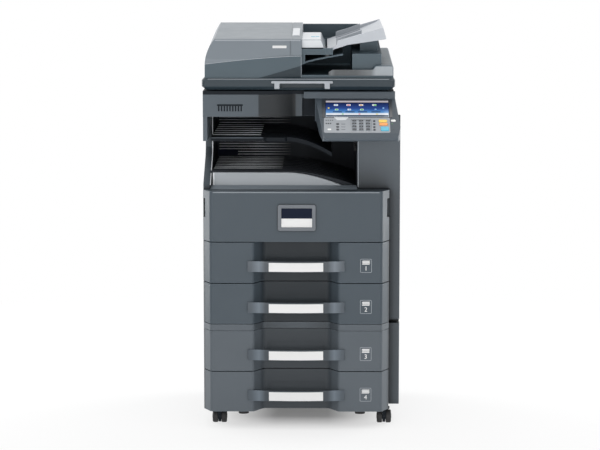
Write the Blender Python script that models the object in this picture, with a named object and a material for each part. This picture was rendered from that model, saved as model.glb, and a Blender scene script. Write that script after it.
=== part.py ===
"""Floor-standing office photocopier with a document feeder and four paper drawers.

Metres, +X to the user's right, +Y to the rear, +Z up. The origin is on the floor, under the
middle of the machine's footprint.
"""
from math import cos, pi, radians, sin, tan

import bmesh
import bpy
from mathutils import Matrix, Vector

# Overall size
WIDTH = 0.590
DEPTH = 0.740
CONSOLE_REACH = 0.170

# Clearances: a resting fit, a running seam between fronts, and a cutter's overshoot
FIT = 0.0003
SEAM = 0.003
OVER = 0.010

# Heights from the floor up
BASE_H = 0.052
DRAWER_PITCH = 0.124
STRIP_H = 0.019
COVER_H = 0.152
OUTPUT_H = 0.222
SCANNER_H = 0.076
LID_GAP = 0.003
LID_H = 0.035

# Drawer fronts: chamfered sides, a full-height finger recess and a bowed handle
CHAMFER_W = 0.023
CHAMFER_D = 0.046
RECESS_D = 0.049
RECESS_HALF = 0.1275
RECESS_FLOOR_HALF = 0.098
FRONT_WALL = 0.009
HANDLE_HALF = 0.1445
HANDLE_H = 0.032
HANDLE_T = 0.010
HANDLE_BOW = 0.015
HANDLE_RISE = 0.052
SCOOP_INSET = 0.014
TRAY_WALL = 0.003
TRAY_STOP_GAP = 0.040
PAPER_L = 0.424
PAPER_W = 0.300
FENCE_H = 0.060
FENCE_L = 0.160
TAIL_FENCE_W = 0.100

# Cabinet
SIDE_DOOR_T = 0.033
CHEEK_T = 0.020
REAR_T = 0.018
SHELL_T = 0.012
SHELF_T = 0.008
DOOR_GRIP_INSET = 0.014
DOOR_GRIP_W = 0.022
DOOR_GRIP_H = 0.080
DOOR_GRIP_D = 0.014
TAB_T = 0.006
TAB_D = 0.016
PIN_L = 0.005
BYPASS_FRONT_GAP = 0.070
BYPASS_REAR_GAP = 0.080
BYPASS_RISE = 0.110
BYPASS_H = 0.220
BYPASS_T = 0.012
BYPASS_GRIP_W = 0.090
BYPASS_GRIP_H = 0.024
VENT_W = 0.140
VENT_PITCH = 0.013
VENT_SLOT = 0.0055
INLET_W = 0.030
INLET_H = 0.024
TOWER_W = 0.129
TOWER_SETBACK = 0.080
PILLAR_T = 0.012
CHEEK_SLOPE_RUN = 0.214
CHEEK_LOW = 0.016
CHEEK_HIGH = 0.101
LEDGE_D = 0.110

# Inner output trays
TRAY_PLATE_T = 0.006
OUTPUT_TRAY_RISE = 0.050
SEPARATOR_RISE = 0.152
SEPARATOR_FALL = 0.046
SEPARATOR_END_GAP = 0.076
INSERT_END_GAP = 0.035
INSERT_SIDE_GAP = 0.007
INSERT_DROP = 0.004
SEPARATOR_TAB_W = 0.072
SEPARATOR_TAB_GAP = 0.003
TRAY_FLAT_END = -0.040
RIB_COUNT = 9
RIB_W = 0.003
RIB_H = 0.002
WALL_RIB_PITCH = 0.0085
SILL_RISE = 0.0075

# Print engine
DRUM_R = 0.015
TRANSFER_R = 0.008
FUSER_R = 0.014
SHAFT_R = 0.004
JOURNAL_L = 0.010
ROLLER_L = 0.340
NIP = 0.0006
TONER_R = 0.045
TONER_L = 0.360

# Scanner and its glass
SCANNER_INSET = 0.003
SCOOP_D = 0.030
SKIRT_DROP = 0.072
SKIRT_T = 0.013
SCAN_FRAME_T = 0.010
GLASS_W = 0.432
GLASS_D = 0.300
GLASS_T = 0.004
CARRIAGE_W = 0.040
CARRIAGE_H = 0.022
GLASS_SIDE_GAP = 0.028
GLASS_FRONT_GAP = 0.032

# Console, in the plane of its tilted panel
CONSOLE_TILT = radians(29.0)
PANEL_LENGTH = 0.201
PANEL_FRONT_Z = 0.898
PANEL_LIP = 0.015
PANEL_NOSE = 0.016
UNDERSIDE_D = 0.080
CONSOLE_CORNER_R = 0.013
CONSOLE_FLARE = 0.045
SCREEN_W = 0.189
SCREEN_L = 0.0905
SCREEN_T = 0.006
KEY_T = 0.004
KEY_PROUD = 0.002
KEY_TRAVEL = 0.0015
KEYPAD_PITCH_U = 0.0198
KEYPAD_PITCH_V = 0.0150
KEYCAP_W = 0.0135
KEYCAP_L = 0.0090

# Lid, its grip and its hinges
LID_OVERHANG = 0.004
LID_UNDERCUT = 0.012
LID_BEAD = 0.011
LID_CROWN = 0.006
LID_SIDE_GAP = 0.005
GRIP_LEFT = -0.089
GRIP_W = 0.181
GRIP_T = 0.009
GRIP_RISE = 0.027
GRIP_LIP = 0.0205
GRIP_FOOT = 0.0045
GRIP_INSET = 0.009
GRIP_LEG = 0.015
GRIP_POCKET_INSET = 0.026
GRIP_POCKET_D = 0.016
GRIP_POCKET_Z = 0.005
GRIP_POCKET_H = 0.015
PAD_MARGIN = 0.014
HINGE_SETBACK = 0.030
HINGE_RISE = 0.016
HINGE_R = 0.009
HINGE_W = 0.050
HINGE_INSET = 0.0925
HINGE_TAIL = 0.022

# Document feeder: roller housing and top cover
FEEDER_FRONT_GAP = 0.006
FEEDER_REAR_GAP = 0.070
FEEDER_SIDE_GAP = 0.009
FEEDER_SEAM_LEFT = 0.042
FEEDER_SEAM_RIGHT = 0.066
FEEDER_H = 0.113
FEEDER_LEAN = 0.020
FEEDER_PITCH = radians(4.0)
FEEDER_END = 0.000
FEED_ROLLER_R = 0.012
ROLLER_SETBACK = 0.055
TROUGH_END_GAP = 0.050
SHOULDER_H = 0.060
SHOULDER_W = 0.074
SHOULDER_DROP = 0.038
SHOULDER_R = 0.110
COVER_WALL_LEFT = 0.065
COVER_WALL_RIGHT = 0.020
COVER_WALL_FRONT = 0.036
COVER_WALL_REAR = 0.030
COVER_WALL_TOP = 0.016
FACET_W = 0.128
FACET_H = 0.037
FACET_D = 0.008
END_CAP_W = 0.032
GROOVE = 0.0015

# Document feeder: throat, exit guide, raised end and pedestal
FLOOR_T = 0.008
THROAT_W = 0.070
THROAT_Z = 0.068
THROAT_T = 0.0165
THROAT_WALL = 0.010
FLAP_GAP = 0.0025
FLAP_T = 0.024
FLAP_D = 0.320
FLAP_RAKE = 0.0115
EXIT_GUIDE_W = 0.125
EXIT_GUIDE_Z = 0.041
EXIT_GUIDE_RISE = 0.029
EXIT_GUIDE_T = 0.004
RIM_H = 0.036
RIM_W = 0.056
PEDESTAL_LEFT = 0.150
PEDESTAL_W = 0.086
PEDESTAL_H = 0.068
NECK_W = 0.052
NECK_INSET = 0.010
NECK_SETBACK = 0.090

# Document tray, its hinge and its paper guides
DOC_TRAY_START = 0.076
DOC_TRAY_END = 0.2505
DOC_TRAY_Z = 0.079
DOC_TRAY_T = 0.007
DOC_TRAY_SLOPE = 0.28
DOC_TRAY_CURVE = 0.48
DOC_FRONT_GAP = 0.024
DOC_REAR_GAP = 0.050
DOC_PITCH = radians(1.5)
DOC_RIM_W = 0.012
BED_RISE = 0.0055
HINGE_BACK = 0.005
RIM_START = 0.027
RIM_LOW = 0.0125
RIM_HIGH = 0.029
RIM_END_LOW = 0.034
RIM_END_HIGH = 0.068
RIM_RAKE = 0.0095
EAR_T = 0.008
EAR_GAP = 0.001
EAR_REACH = 0.011
GUIDE_L = 0.075
GUIDE_H = 0.018
GUIDE_T = 0.004
GUIDE_FOOT = 0.024
GUIDE_SPREAD = 0.150

# Casters
CASTER_INSET_X = 0.045
CASTER_INSET_Y = 0.085
WHEEL_R = 0.020
WHEEL_W = 0.016
FORK_W = 0.010
CASTER_TRAIL = 0.012
AXLE_R = 0.003
FOOT_R = 0.0165
FOOT_INSET = 0.118

# Planes that follow from the sizes above
LEFT = -WIDTH / 2
RIGHT = WIDTH / 2
FRONT = -DEPTH / 2 + CONSOLE_REACH
REAR = DEPTH / 2
DRAWER_RIGHT = RIGHT - SIDE_DOOR_T
DRAWER_MID = (LEFT + DRAWER_RIGHT) / 2
FRONT_T = RECESS_D + FRONT_WALL
CABINET_FRONT = FRONT + FRONT_T + FIT
CABINET_REAR = REAR - REAR_T - FIT
FEEDER_TOP = BASE_H + 2 * DRAWER_PITCH
STRIP_TOP = FEEDER_TOP + STRIP_H
COVER_Z = STRIP_TOP + 2 * DRAWER_PITCH
LEDGE_Z = COVER_Z + COVER_H
SCANNER_Z = LEDGE_Z + OUTPUT_H
SCANNER_TOP = SCANNER_Z + SCANNER_H
LID_Z = SCANNER_TOP + LID_GAP
LID_TOP = LID_Z + LID_H
TOWER_X = RIGHT - TOWER_W
SCANNER_RIGHT = DRAWER_RIGHT + 0.011
LID_RIGHT = SCANNER_RIGHT + SCANNER_INSET
DRAWER_FLOORS = (
    COVER_Z - DRAWER_PITCH,
    STRIP_TOP,
    FEEDER_TOP - DRAWER_PITCH,
    BASE_H,
)
HINGE_Y = REAR - HINGE_SETBACK
HINGE_Z = LID_Z + HINGE_RISE
PANEL_TOP_Y = -DEPTH / 2 + PANEL_LENGTH * cos(CONSOLE_TILT)
PANEL_TOP_Z = PANEL_FRONT_Z + PANEL_LENGTH * sin(CONSOLE_TILT)
FEEDER_FRONT = FRONT + FEEDER_FRONT_GAP
FEEDER_REAR = REAR - FEEDER_REAR_GAP
POCKET_LEFT = LEFT + CHEEK_T + SHELL_T
POCKET_RIGHT = DRAWER_RIGHT - SHELL_T
DOOR_X = DRAWER_RIGHT + SEAM / 2
DOOR_FRONT = FRONT + TOWER_SETBACK + PILLAR_T + SEAM
DOOR_REAR = REAR - REAR_T - SEAM


# Mesh building

AXIS_ORDER = {"X": "yzx", "Y": "xzy", "Z": "xyz"}


def ring(outline, axis, level):
    """Place a flat outline of (y, z), (x, z) or (x, y) points at a level along an axis."""
    first, second, along = AXIS_ORDER[axis]
    points = []
    for u, v in outline:
        point = Vector((0.0, 0.0, 0.0))
        setattr(point, first, u)
        setattr(point, second, v)
        setattr(point, along, level)
        points.append(point)
    return points


def loft(rings):
    """Skin rings of equal length into one closed solid with flat ends."""
    mesh = bmesh.new()
    loops = [[mesh.verts.new(point) for point in points] for points in rings]
    mesh.faces.new(loops[0])
    mesh.faces.new(loops[-1])
    for lower, upper in zip(loops, loops[1:]):
        for index in range(len(lower)):
            following = (index + 1) % len(lower)
            mesh.faces.new((lower[index], lower[following], upper[following], upper[index]))
    bmesh.ops.recalc_face_normals(mesh, faces=mesh.faces)
    return mesh


def prism(outline, axis, low, high):
    """Extrude an outline along an axis."""
    return loft([ring(outline, axis, low), ring(outline, axis, high)])


def block(x, y, z):
    """A box from three (low, high) pairs."""
    outline = [(x[0], y[0]), (x[1], y[0]), (x[1], y[1]), (x[0], y[1])]
    return prism(outline, "Z", z[0], z[1])


def circle(u, v, radius, sides):
    """A circle's points, with a flat side facing down."""
    start = pi / sides - pi / 2
    step = 2 * pi / sides
    return [
        (u + radius * cos(start + step * index), v + radius * sin(start + step * index))
        for index in range(sides)
    ]


def spindle(axis, u, v, stations, sides=20):
    """Turn a shaft: stations are (level, radius) pairs along the axis."""
    return loft([ring(circle(u, v, radius, sides), axis, level) for level, radius in stations])


def rounded(corners, segments=4):
    """Replace each (u, v, radius) corner of an outline by an arc."""
    outline = []
    for index, (u, v, radius) in enumerate(corners):
        corner = Vector((u, v))
        if radius == 0:
            outline.append((u, v))
            continue
        before = (Vector(corners[index - 1][:2]) - corner).normalized()
        after = (Vector(corners[(index + 1) % len(corners)][:2]) - corner).normalized()
        half = before.angle(after) / 2
        centre = corner + (before + after).normalized() * (radius / sin(half))
        start = corner + before * (radius / tan(half)) - centre
        end = corner + after * (radius / tan(half)) - centre
        turn = pi - 2 * half
        side = 1.0 if start.x * end.y - start.y * end.x > 0 else -1.0
        for step in range(segments + 1):
            arm = start.copy()
            arm.rotate(Matrix.Rotation(side * turn * step / segments, 2))
            outline.append(tuple(centre + arm))
    return outline


def gather(parts):
    """Put several meshes into one, as separate bodies."""
    whole = bmesh.new()
    for part in parts:
        scratch = bpy.data.meshes.new("scratch")
        part.to_mesh(scratch)
        part.free()
        whole.from_mesh(scratch)
        bpy.data.meshes.remove(scratch)
    return whole


# Objects

def finish(name, rgb, roughness, metallic=0.0):
    """A plain Principled material."""
    material = bpy.data.materials.new(name)
    material.use_nodes = True
    shader = material.node_tree.nodes["Principled BSDF"]
    shader.inputs["Base Color"].default_value = (*rgb, 1.0)
    shader.inputs["Roughness"].default_value = roughness
    shader.inputs["Metallic"].default_value = metallic
    return material


def link(name, mesh, pivot, parent):
    """Make an object from a mesh, with its origin at the pivot."""
    data = bpy.data.meshes.new(name)
    bmesh.ops.translate(mesh, verts=mesh.verts, vec=-Vector(pivot))
    mesh.to_mesh(data)
    mesh.free()
    data.shade_smooth()
    data.set_sharp_from_angle(angle=radians(35))
    item = bpy.data.objects.new(name, data)
    item.location = pivot
    item.parent = parent
    bpy.context.scene.collection.objects.link(item)
    return item


def piece(name, mesh, material, pivot=(0.0, 0.0, 0.0), parent=None):
    """One sub-part of the machine."""
    item = link(name, mesh, pivot, parent)
    item.data.materials.append(material)
    return item


def combine(item, operation, parts, parent=None):
    """Cut the parts out of a piece, weld them on, or keep only what they share."""
    tool = link(f"{item.name}_{operation.lower()}_{len(item.modifiers)}", gather(parts), (0, 0, 0), parent)
    tool.hide_render = True
    tool.display_type = "WIRE"
    modifier = item.modifiers.new(operation.title(), "BOOLEAN")
    modifier.operation = operation
    modifier.solver = "EXACT"
    modifier.object = tool


def cut(item, *parts, parent=None):
    """Cut shapes that don't touch each other out of a piece."""
    combine(item, "DIFFERENCE", parts, parent)


def weld(item, *parts, parent=None):
    """Join shapes that don't touch each other onto a piece."""
    combine(item, "UNION", parts, parent)


# Paper drawers

def front_plan(back, right, recess):
    """Plan of the machine's front: chamfered sides and, on the drawers, the finger recess."""
    corners = [(LEFT, back, 0), (LEFT, FRONT + CHAMFER_D, 0.006), (LEFT + CHAMFER_W, FRONT, 0.012)]
    if recess:
        floor = FRONT + RECESS_D
        corners += [
            (DRAWER_MID - RECESS_HALF, FRONT, 0.012),
            (DRAWER_MID - RECESS_FLOOR_HALF, floor, 0.016),
            (DRAWER_MID + RECESS_FLOOR_HALF, floor, 0.016),
            (DRAWER_MID + RECESS_HALF, FRONT, 0.012),
        ]
    corners += [
        (DRAWER_RIGHT - CHAMFER_W, FRONT, 0.012),
        (DRAWER_RIGHT, FRONT + CHAMFER_D, 0.006),
        (right, back, 0),
    ]
    return rounded(corners)


def drawer_pocket(floor):
    """The space in a cabinet that a drawer's tray slides in."""
    return block(
        (POCKET_LEFT, POCKET_RIGHT),
        (CABINET_FRONT - OVER, CABINET_REAR - SHELL_T),
        (floor + SHELF_T / 2, floor + DRAWER_PITCH - SHELF_T / 2),
    )


def handle_plan(samples=12):
    """Plan of a handle: a bar that bows out over the recess and lands on its two sides."""
    land = FRONT - FIT
    outer = []
    inner = []
    for index in range(samples + 1):
        share = 2 * index / samples - 1
        bow = 1 - share * share
        outer.append((DRAWER_MID + HANDLE_HALF * share, land - HANDLE_T / 2 - HANDLE_BOW * bow))
        inner.append((DRAWER_MID + RECESS_HALF * share, land - (HANDLE_BOW - HANDLE_T / 2) * bow))
    ends = [(DRAWER_MID + HANDLE_HALF, land), (DRAWER_MID - HANDLE_HALF, land)]
    return outer + [ends[0]] + inner[::-1] + [ends[1]]


def paper_fences(tray_x, tray_y, floor):
    """Two side fences and a tail fence around the sheets, whose feed edge is at the tray's right."""
    middle = sum(tray_y) / 2
    feed_edge = tray_x[1] - TRAY_WALL
    side_x = (feed_edge - PAPER_W, feed_edge - PAPER_W + FENCE_L)
    tail_x = (feed_edge - PAPER_L - TRAY_WALL, feed_edge - PAPER_L)
    side_y = PAPER_W / 2
    z = (floor - TRAY_WALL / 2, floor + FENCE_H)
    return [
        block(side_x, (middle - side_y - TRAY_WALL, middle - side_y), z),
        block(side_x, (middle + side_y, middle + side_y + TRAY_WALL), z),
        block(tail_x, (middle - TAIL_FENCE_W / 2, middle + TAIL_FENCE_W / 2), z),
    ]


def drawer(number, floor, panel, dark):
    """A drawer's moulded front, handle and paper tray, around an empty at its runner."""
    runner = bpy.data.objects.new(f"drawer_{number}_runner", None)
    runner.location = (DRAWER_MID, CABINET_FRONT, floor)
    bpy.context.scene.collection.objects.link(runner)
    bpy.context.view_layer.update()
    low = floor + SEAM / 2
    high = floor + DRAWER_PITCH - SEAM / 2
    back = FRONT + FRONT_T
    plan = front_plan(back, DRAWER_RIGHT, True)
    front = piece(f"drawer_front_{number}", prism(plan, "Z", low, high), panel)
    hollow_y = (FRONT + FRONT_WALL, back + OVER)
    hollow_z = (low + FRONT_WALL / 2, high - FRONT_WALL / 2)
    side = CHAMFER_W + FRONT_WALL
    middle = RECESS_HALF + FRONT_WALL
    cut(
        front,
        block((LEFT + side, DRAWER_MID - middle), hollow_y, hollow_z),
        block((DRAWER_MID + middle, DRAWER_RIGHT - side), hollow_y, hollow_z),
    )
    grip = floor + HANDLE_RISE
    reach = RECESS_FLOOR_HALF - SCOOP_INSET
    scoop = rounded([
        (DRAWER_MID - reach, grip - HANDLE_H / 2, 0.012),
        (DRAWER_MID + reach, grip - HANDLE_H / 2, 0.012),
        (DRAWER_MID + reach, grip + HANDLE_H, 0.012),
        (DRAWER_MID - reach, grip + HANDLE_H, 0.012),
    ])
    cut(front, prism(scoop, "Y", FRONT + RECESS_D - OVER, FRONT + RECESS_D + FRONT_WALL / 2))
    bar = piece(
        f"drawer_handle_{number}",
        prism(handle_plan(), "Z", grip - HANDLE_H / 2, grip + HANDLE_H / 2),
        panel,
    )
    tray_x = (POCKET_LEFT + SEAM, POCKET_RIGHT - SEAM)
    tray_y = (back + FIT, CABINET_REAR - SHELL_T - TRAY_STOP_GAP)
    tray_z = (floor + SHELF_T / 2 + FIT, floor + DRAWER_PITCH - HANDLE_H)
    tray = piece(f"drawer_tray_{number}", block(tray_x, tray_y, tray_z), dark)
    cut(tray, block(
        (tray_x[0] + TRAY_WALL, tray_x[1] - TRAY_WALL),
        (tray_y[0] + TRAY_WALL, tray_y[1] - TRAY_WALL),
        (tray_z[0] + TRAY_WALL, tray_z[1] + OVER),
    ))
    weld(tray, *paper_fences(tray_x, tray_y, tray_z[0] + TRAY_WALL))
    for item in (front, bar, tray):
        item.parent = runner
        item.matrix_parent_inverse = runner.matrix_world.inverted()


# Cabinets and covers

def hinge_tabs(low, high):
    """Two tabs that hold a side door's pins, above and below the door."""
    x = (DRAWER_RIGHT - SHELL_T / 2, RIGHT - FIT)
    y = (DOOR_REAR - TAB_D, DOOR_REAR)
    return [
        block(x, y, (low - FIT - TAB_T, low - FIT)),
        block(x, y, (high + FIT, high + FIT + TAB_T)),
    ]


def door_axis():
    """Plan position of the side doors' hinge pins."""
    return (RIGHT - TAB_T, DOOR_REAR - TAB_T)


def pin_hole(low, high):
    """Bores in the two tabs, around the door's pins."""
    x, y = door_axis()
    radius = SHAFT_R / 2 + FIT
    return [
        spindle("Z", x, y, [(low - FIT - TAB_T - OVER, radius), (low - FIT / 2, radius)], 10),
        spindle("Z", x, y, [(high + FIT / 2, radius), (high + FIT + TAB_T + OVER, radius)], 10),
    ]


UPPER_DOOR = (STRIP_TOP + 0.009, SCANNER_Z - 0.040)
LOWER_DOOR = (BASE_H + 0.009, STRIP_TOP - 0.009)


def feeder_cabinet(panel):
    """Lower cabinet: two drawer bays, the chamfered strip over them and the levelling feet."""
    item = piece("feeder_cabinet", block(
        (LEFT + FIT, DRAWER_RIGHT - FIT),
        (CABINET_FRONT, CABINET_REAR - FIT),
        (BASE_H, FEEDER_TOP + STRIP_H / 2),
    ), panel)
    strip = front_plan(CABINET_REAR, DRAWER_RIGHT, True)
    weld(item, prism(strip, "Z", FEEDER_TOP, STRIP_TOP - FIT))
    weld(item, *hinge_tabs(*LOWER_DOOR))
    feet = []
    for x in (LEFT + FOOT_INSET, DRAWER_RIGHT + SIDE_DOOR_T - FOOT_INSET):
        stations = [(BASE_H - 0.011, FOOT_R - 0.002), (BASE_H - 0.008, FOOT_R), (BASE_H + 0.002, FOOT_R)]
        feet.append(spindle("Z", x, CABINET_FRONT + 2 * FOOT_R, stations))
    weld(item, *feet)
    cut(item, *[drawer_pocket(floor) for floor in DRAWER_FLOORS[2:]])
    cut(item, *pin_hole(*LOWER_DOOR))


def roller_axes():
    """Places (x, z) of the engine's rollers, radius by radius, either side of the paper path."""
    nip_x = DRAWER_RIGHT - 0.045
    drum_z = COVER_Z + 0.075
    fuser_z = LEDGE_Z + 0.075
    return {
        "photoconductor_drum": (nip_x - DRUM_R - NIP / 2, drum_z, DRUM_R),
        "transfer_roller": (nip_x + TRANSFER_R + NIP / 2, drum_z, TRANSFER_R),
        "fuser_heat_roller": (nip_x - FUSER_R - NIP / 2, fuser_z, FUSER_R),
        "fuser_pressure_roller": (nip_x + FUSER_R + NIP / 2, fuser_z, FUSER_R),
    }


ROLLER_MID = (DOOR_FRONT + DOOR_REAR) / 2
TRANSPORT_X = DRAWER_RIGHT - 0.082
TRANSPORT_Y = (ROLLER_MID - ROLLER_L / 2 - SEAM, ROLLER_MID + ROLLER_L / 2 + SEAM)
TRANSPORT_Z = (COVER_Z + 0.020, LEDGE_Z + 0.140)
BAY_X = (LEFT + CHEEK_T + 2 * SHELL_T, TRANSPORT_X - 0.060)
BAY_Z = (COVER_Z + SHELL_T, LEDGE_Z - SHELL_T)


def engine_cabinet(panel):
    """Upper cabinet: two drawer bays, the toner bay, the side transport bay and the tower."""
    right = DRAWER_RIGHT - FIT
    item = piece("engine_cabinet", block(
        (LEFT + CHEEK_T + FIT, right),
        (CABINET_FRONT, CABINET_REAR - FIT),
        (STRIP_TOP, LEDGE_Z),
    ), panel)
    weld(item, block(
        (TOWER_X, right - FIT),
        (FRONT + TOWER_SETBACK + PILLAR_T + FIT, CABINET_REAR - 2 * FIT),
        (LEDGE_Z - SHELL_T, SCANNER_Z - FIT),
    ))
    weld(item, *hinge_tabs(*UPPER_DOOR))
    insert_front = FRONT + LEDGE_D - SHELL_T - FIT
    sill = [
        (CABINET_FRONT + FIT, LEDGE_Z - SILL_RISE),
        (insert_front, LEDGE_Z - SILL_RISE),
        (insert_front, LEDGE_Z + SILL_RISE),
        (CABINET_FRONT + FIT, LEDGE_Z + FIT),
    ]
    weld(item, prism(sill, "X", LEFT + CHEEK_T + 2 * FIT, TOWER_X - FIT))
    cut(item, *[drawer_pocket(floor) for floor in DRAWER_FLOORS[:2]])
    cut(item, block(BAY_X, (CABINET_FRONT - OVER, CABINET_FRONT + TONER_L + SHELL_T), BAY_Z))
    cut(item, block((TRANSPORT_X, right + OVER), TRANSPORT_Y, TRANSPORT_Z))
    slot_z = TRANSPORT_Z[1] - 0.030
    cut(item, block(
        (TOWER_X - OVER, TRANSPORT_X + OVER),
        (TRANSPORT_Y[0] + SHELL_T, TRANSPORT_Y[1] - SHELL_T),
        (slot_z, slot_z + 0.018),
    ))
    reach = JOURNAL_L + FIT
    bearings = []
    for x, z, _radius in roller_axes().values():
        for low, high in (
            (TRANSPORT_Y[0] - reach, TRANSPORT_Y[0] + OVER),
            (TRANSPORT_Y[1] - OVER, TRANSPORT_Y[1] + reach),
        ):
            bearings.append(spindle("Y", x, z, [(low, SHAFT_R + FIT), (high, SHAFT_R + FIT)], 12))
    cut(item, *bearings)
    cut(item, *pin_hole(*UPPER_DOOR))


def engine_rollers(drum, rubber, steel):
    """Drum, transfer roller and fuser rollers, each turned with its journals."""
    finishes = {
        "photoconductor_drum": drum,
        "transfer_roller": rubber,
        "fuser_heat_roller": steel,
        "fuser_pressure_roller": rubber,
    }
    low = ROLLER_MID - ROLLER_L / 2
    high = ROLLER_MID + ROLLER_L / 2
    for name, (x, z, radius) in roller_axes().items():
        stations = [
            (TRANSPORT_Y[0] - JOURNAL_L, SHAFT_R),
            (low, SHAFT_R),
            (low, radius),
            (high, radius),
            (high, SHAFT_R),
            (TRANSPORT_Y[1] + JOURNAL_L, SHAFT_R),
        ]
        piece(name, spindle("Y", x, z, stations), finishes[name], (x, ROLLER_MID, z))


def toner_container(dark):
    """Round toner container on the floor of its bay, with its grip at the front."""
    x = BAY_X[0] + TONER_R + SHELL_T
    z = BAY_Z[0] + FIT + TONER_R * cos(pi / 20)
    start = CABINET_FRONT + SHELL_T / 2
    stations = [
        (start, TONER_R / 2),
        (start + 0.014, TONER_R / 2),
        (start + 0.014, TONER_R - 0.004),
        (start + 0.018, TONER_R),
        (start + TONER_L - 0.020, TONER_R),
        (start + TONER_L - 0.010, TONER_R - 0.010),
    ]
    piece("toner_container", spindle("Y", x, z, stations), dark)


def front_cover(panel):
    """Drop-down cover over the toner bay, hollow behind, with a finger notch at each side."""
    low = COVER_Z + SEAM / 2
    back = FRONT + FRONT_T
    pivot = (DRAWER_MID, FRONT + 0.006, low + 0.007)
    plan = front_plan(back, DRAWER_RIGHT, False)
    item = piece("front_cover", prism(plan, "Z", low, LEDGE_Z), panel, pivot)
    cut(item, block(
        (LEFT + CHAMFER_W + FRONT_WALL, DRAWER_RIGHT - CHAMFER_W - FRONT_WALL),
        (FRONT + FRONT_WALL, back + OVER),
        (low + FRONT_WALL, LEDGE_Z - FRONT_WALL),
    ))
    notch_z = (LEDGE_Z - 0.081, LEDGE_Z - 0.024)
    notch_y = (FRONT + CHAMFER_D - 0.014, back - SEAM)
    cut(
        item,
        block((LEFT - OVER, LEFT + 0.010), notch_y, notch_z),
        block((DRAWER_RIGHT - 0.010, DRAWER_RIGHT + OVER), notch_y, notch_z),
    )


def vent_rows(low, count):
    """Heights of a vent's slots, from its lowest up."""
    return [(low + VENT_PITCH * row, low + VENT_PITCH * row + VENT_SLOT) for row in range(count)]


def left_cover(panel):
    """Left skin: its cheek slopes up beside the output space to the post under the scanner."""
    post = FRONT + CHEEK_SLOPE_RUN
    outline = [
        (CABINET_FRONT, STRIP_TOP),
        (CABINET_FRONT, LEDGE_Z + CHEEK_LOW),
        (post - 0.020, LEDGE_Z + CHEEK_HIGH - 0.012),
        (post, LEDGE_Z + CHEEK_HIGH + 0.012),
        (post, SCANNER_Z - FIT),
        (CABINET_REAR, SCANNER_Z - FIT),
        (CABINET_REAR, STRIP_TOP),
    ]
    item = piece("left_cover", prism(outline, "X", LEFT, LEFT + CHEEK_T), panel)
    vent_x = (LEFT - OVER, LEFT + CHEEK_T / 2)
    vent_y = (CABINET_REAR - LEDGE_D / 2 - VENT_W, CABINET_REAR - LEDGE_D / 2)
    cut(item, *[block(vent_x, vent_y, z) for z in vent_rows(STRIP_TOP + CHEEK_T, 10)])


def rear_cover(panel):
    """Rear skin with two louvred vents and the power inlet."""
    item = piece("rear_cover", prism(rounded([
        (LEFT + FIT, REAR - REAR_T, 0),
        (RIGHT - FIT, REAR - REAR_T, 0),
        (RIGHT - FIT, REAR, 0.010),
        (LEFT + FIT, REAR, 0.010),
    ]), "Z", BASE_H, SCANNER_Z - FIT), panel)
    depth = (REAR - REAR_T / 2, REAR + OVER)
    left = LEFT + LEDGE_D / 2
    right = RIGHT - LEDGE_D - VENT_W
    for x in (left, right):
        cut(item, *[block((x, x + VENT_W), depth, z) for z in vent_rows(COVER_Z + LEDGE_D / 2, 9)])
    inlet_z = BASE_H + INLET_W
    cut(item, block((left, left + INLET_W), depth, (inlet_z, inlet_z + INLET_H)))
    inner = REAR - REAR_T
    rib_x = (LEFT + CHEEK_T + 2 * RIB_W, TRAY_FLAT_END)
    for low, count in ((LEDGE_Z + OUTPUT_TRAY_RISE, 10), (LEDGE_Z + SEPARATOR_RISE, 7)):
        rows = [low + WALL_RIB_PITCH * (index + 0.8) for index in range(count)]
        weld(item, *[block(rib_x, (inner - RIB_H, inner + RIB_H), (z, z + RIB_W)) for z in rows])


def right_front_cover(panel):
    """Fixed L-shaped cover on the tower and beside the engine's drawers."""
    outline = [
        (DRAWER_RIGHT + FIT, STRIP_TOP + SEAM),
        (RIGHT, STRIP_TOP + SEAM),
        (RIGHT, SCANNER_Z - FIT),
        (TOWER_X, SCANNER_Z - FIT),
        (TOWER_X, LEDGE_Z + FIT),
        (DRAWER_RIGHT + FIT, LEDGE_Z + FIT),
    ]
    front = FRONT + TOWER_SETBACK
    piece("right_front_cover", prism(outline, "Y", front, front + PILLAR_T), panel)


def side_door(name, panel, low, high, front, grip):
    """A right-hand door that swings on vertical pins at its rear edge, with a finger grip at the front."""
    x, y = door_axis()
    item = piece(name, prism(rounded([
        (DOOR_X, front, 0),
        (RIGHT, front, 0.004),
        (RIGHT, DOOR_REAR, 0.004),
        (DOOR_X, DOOR_REAR, 0),
    ]), "Z", low, high), panel, (x, y, low))
    weld(
        item,
        spindle("Z", x, y, [(low - PIN_L, SHAFT_R / 2), (low + SEAM, SHAFT_R / 2)], 10),
        spindle("Z", x, y, [(high - SEAM, SHAFT_R / 2), (high + PIN_L, SHAFT_R / 2)], 10),
    )
    grip_y = front + DOOR_GRIP_INSET
    cut(item, block(
        (RIGHT - DOOR_GRIP_D, RIGHT + OVER),
        (grip_y, grip_y + DOOR_GRIP_W),
        (grip - DOOR_GRIP_H / 2, grip + DOOR_GRIP_H / 2),
    ))
    return item


BYPASS_Y = (DOOR_FRONT + BYPASS_FRONT_GAP, DOOR_REAR - BYPASS_REAR_GAP)
BYPASS_Z = (STRIP_TOP + BYPASS_RISE, STRIP_TOP + BYPASS_RISE + BYPASS_H)


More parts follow.
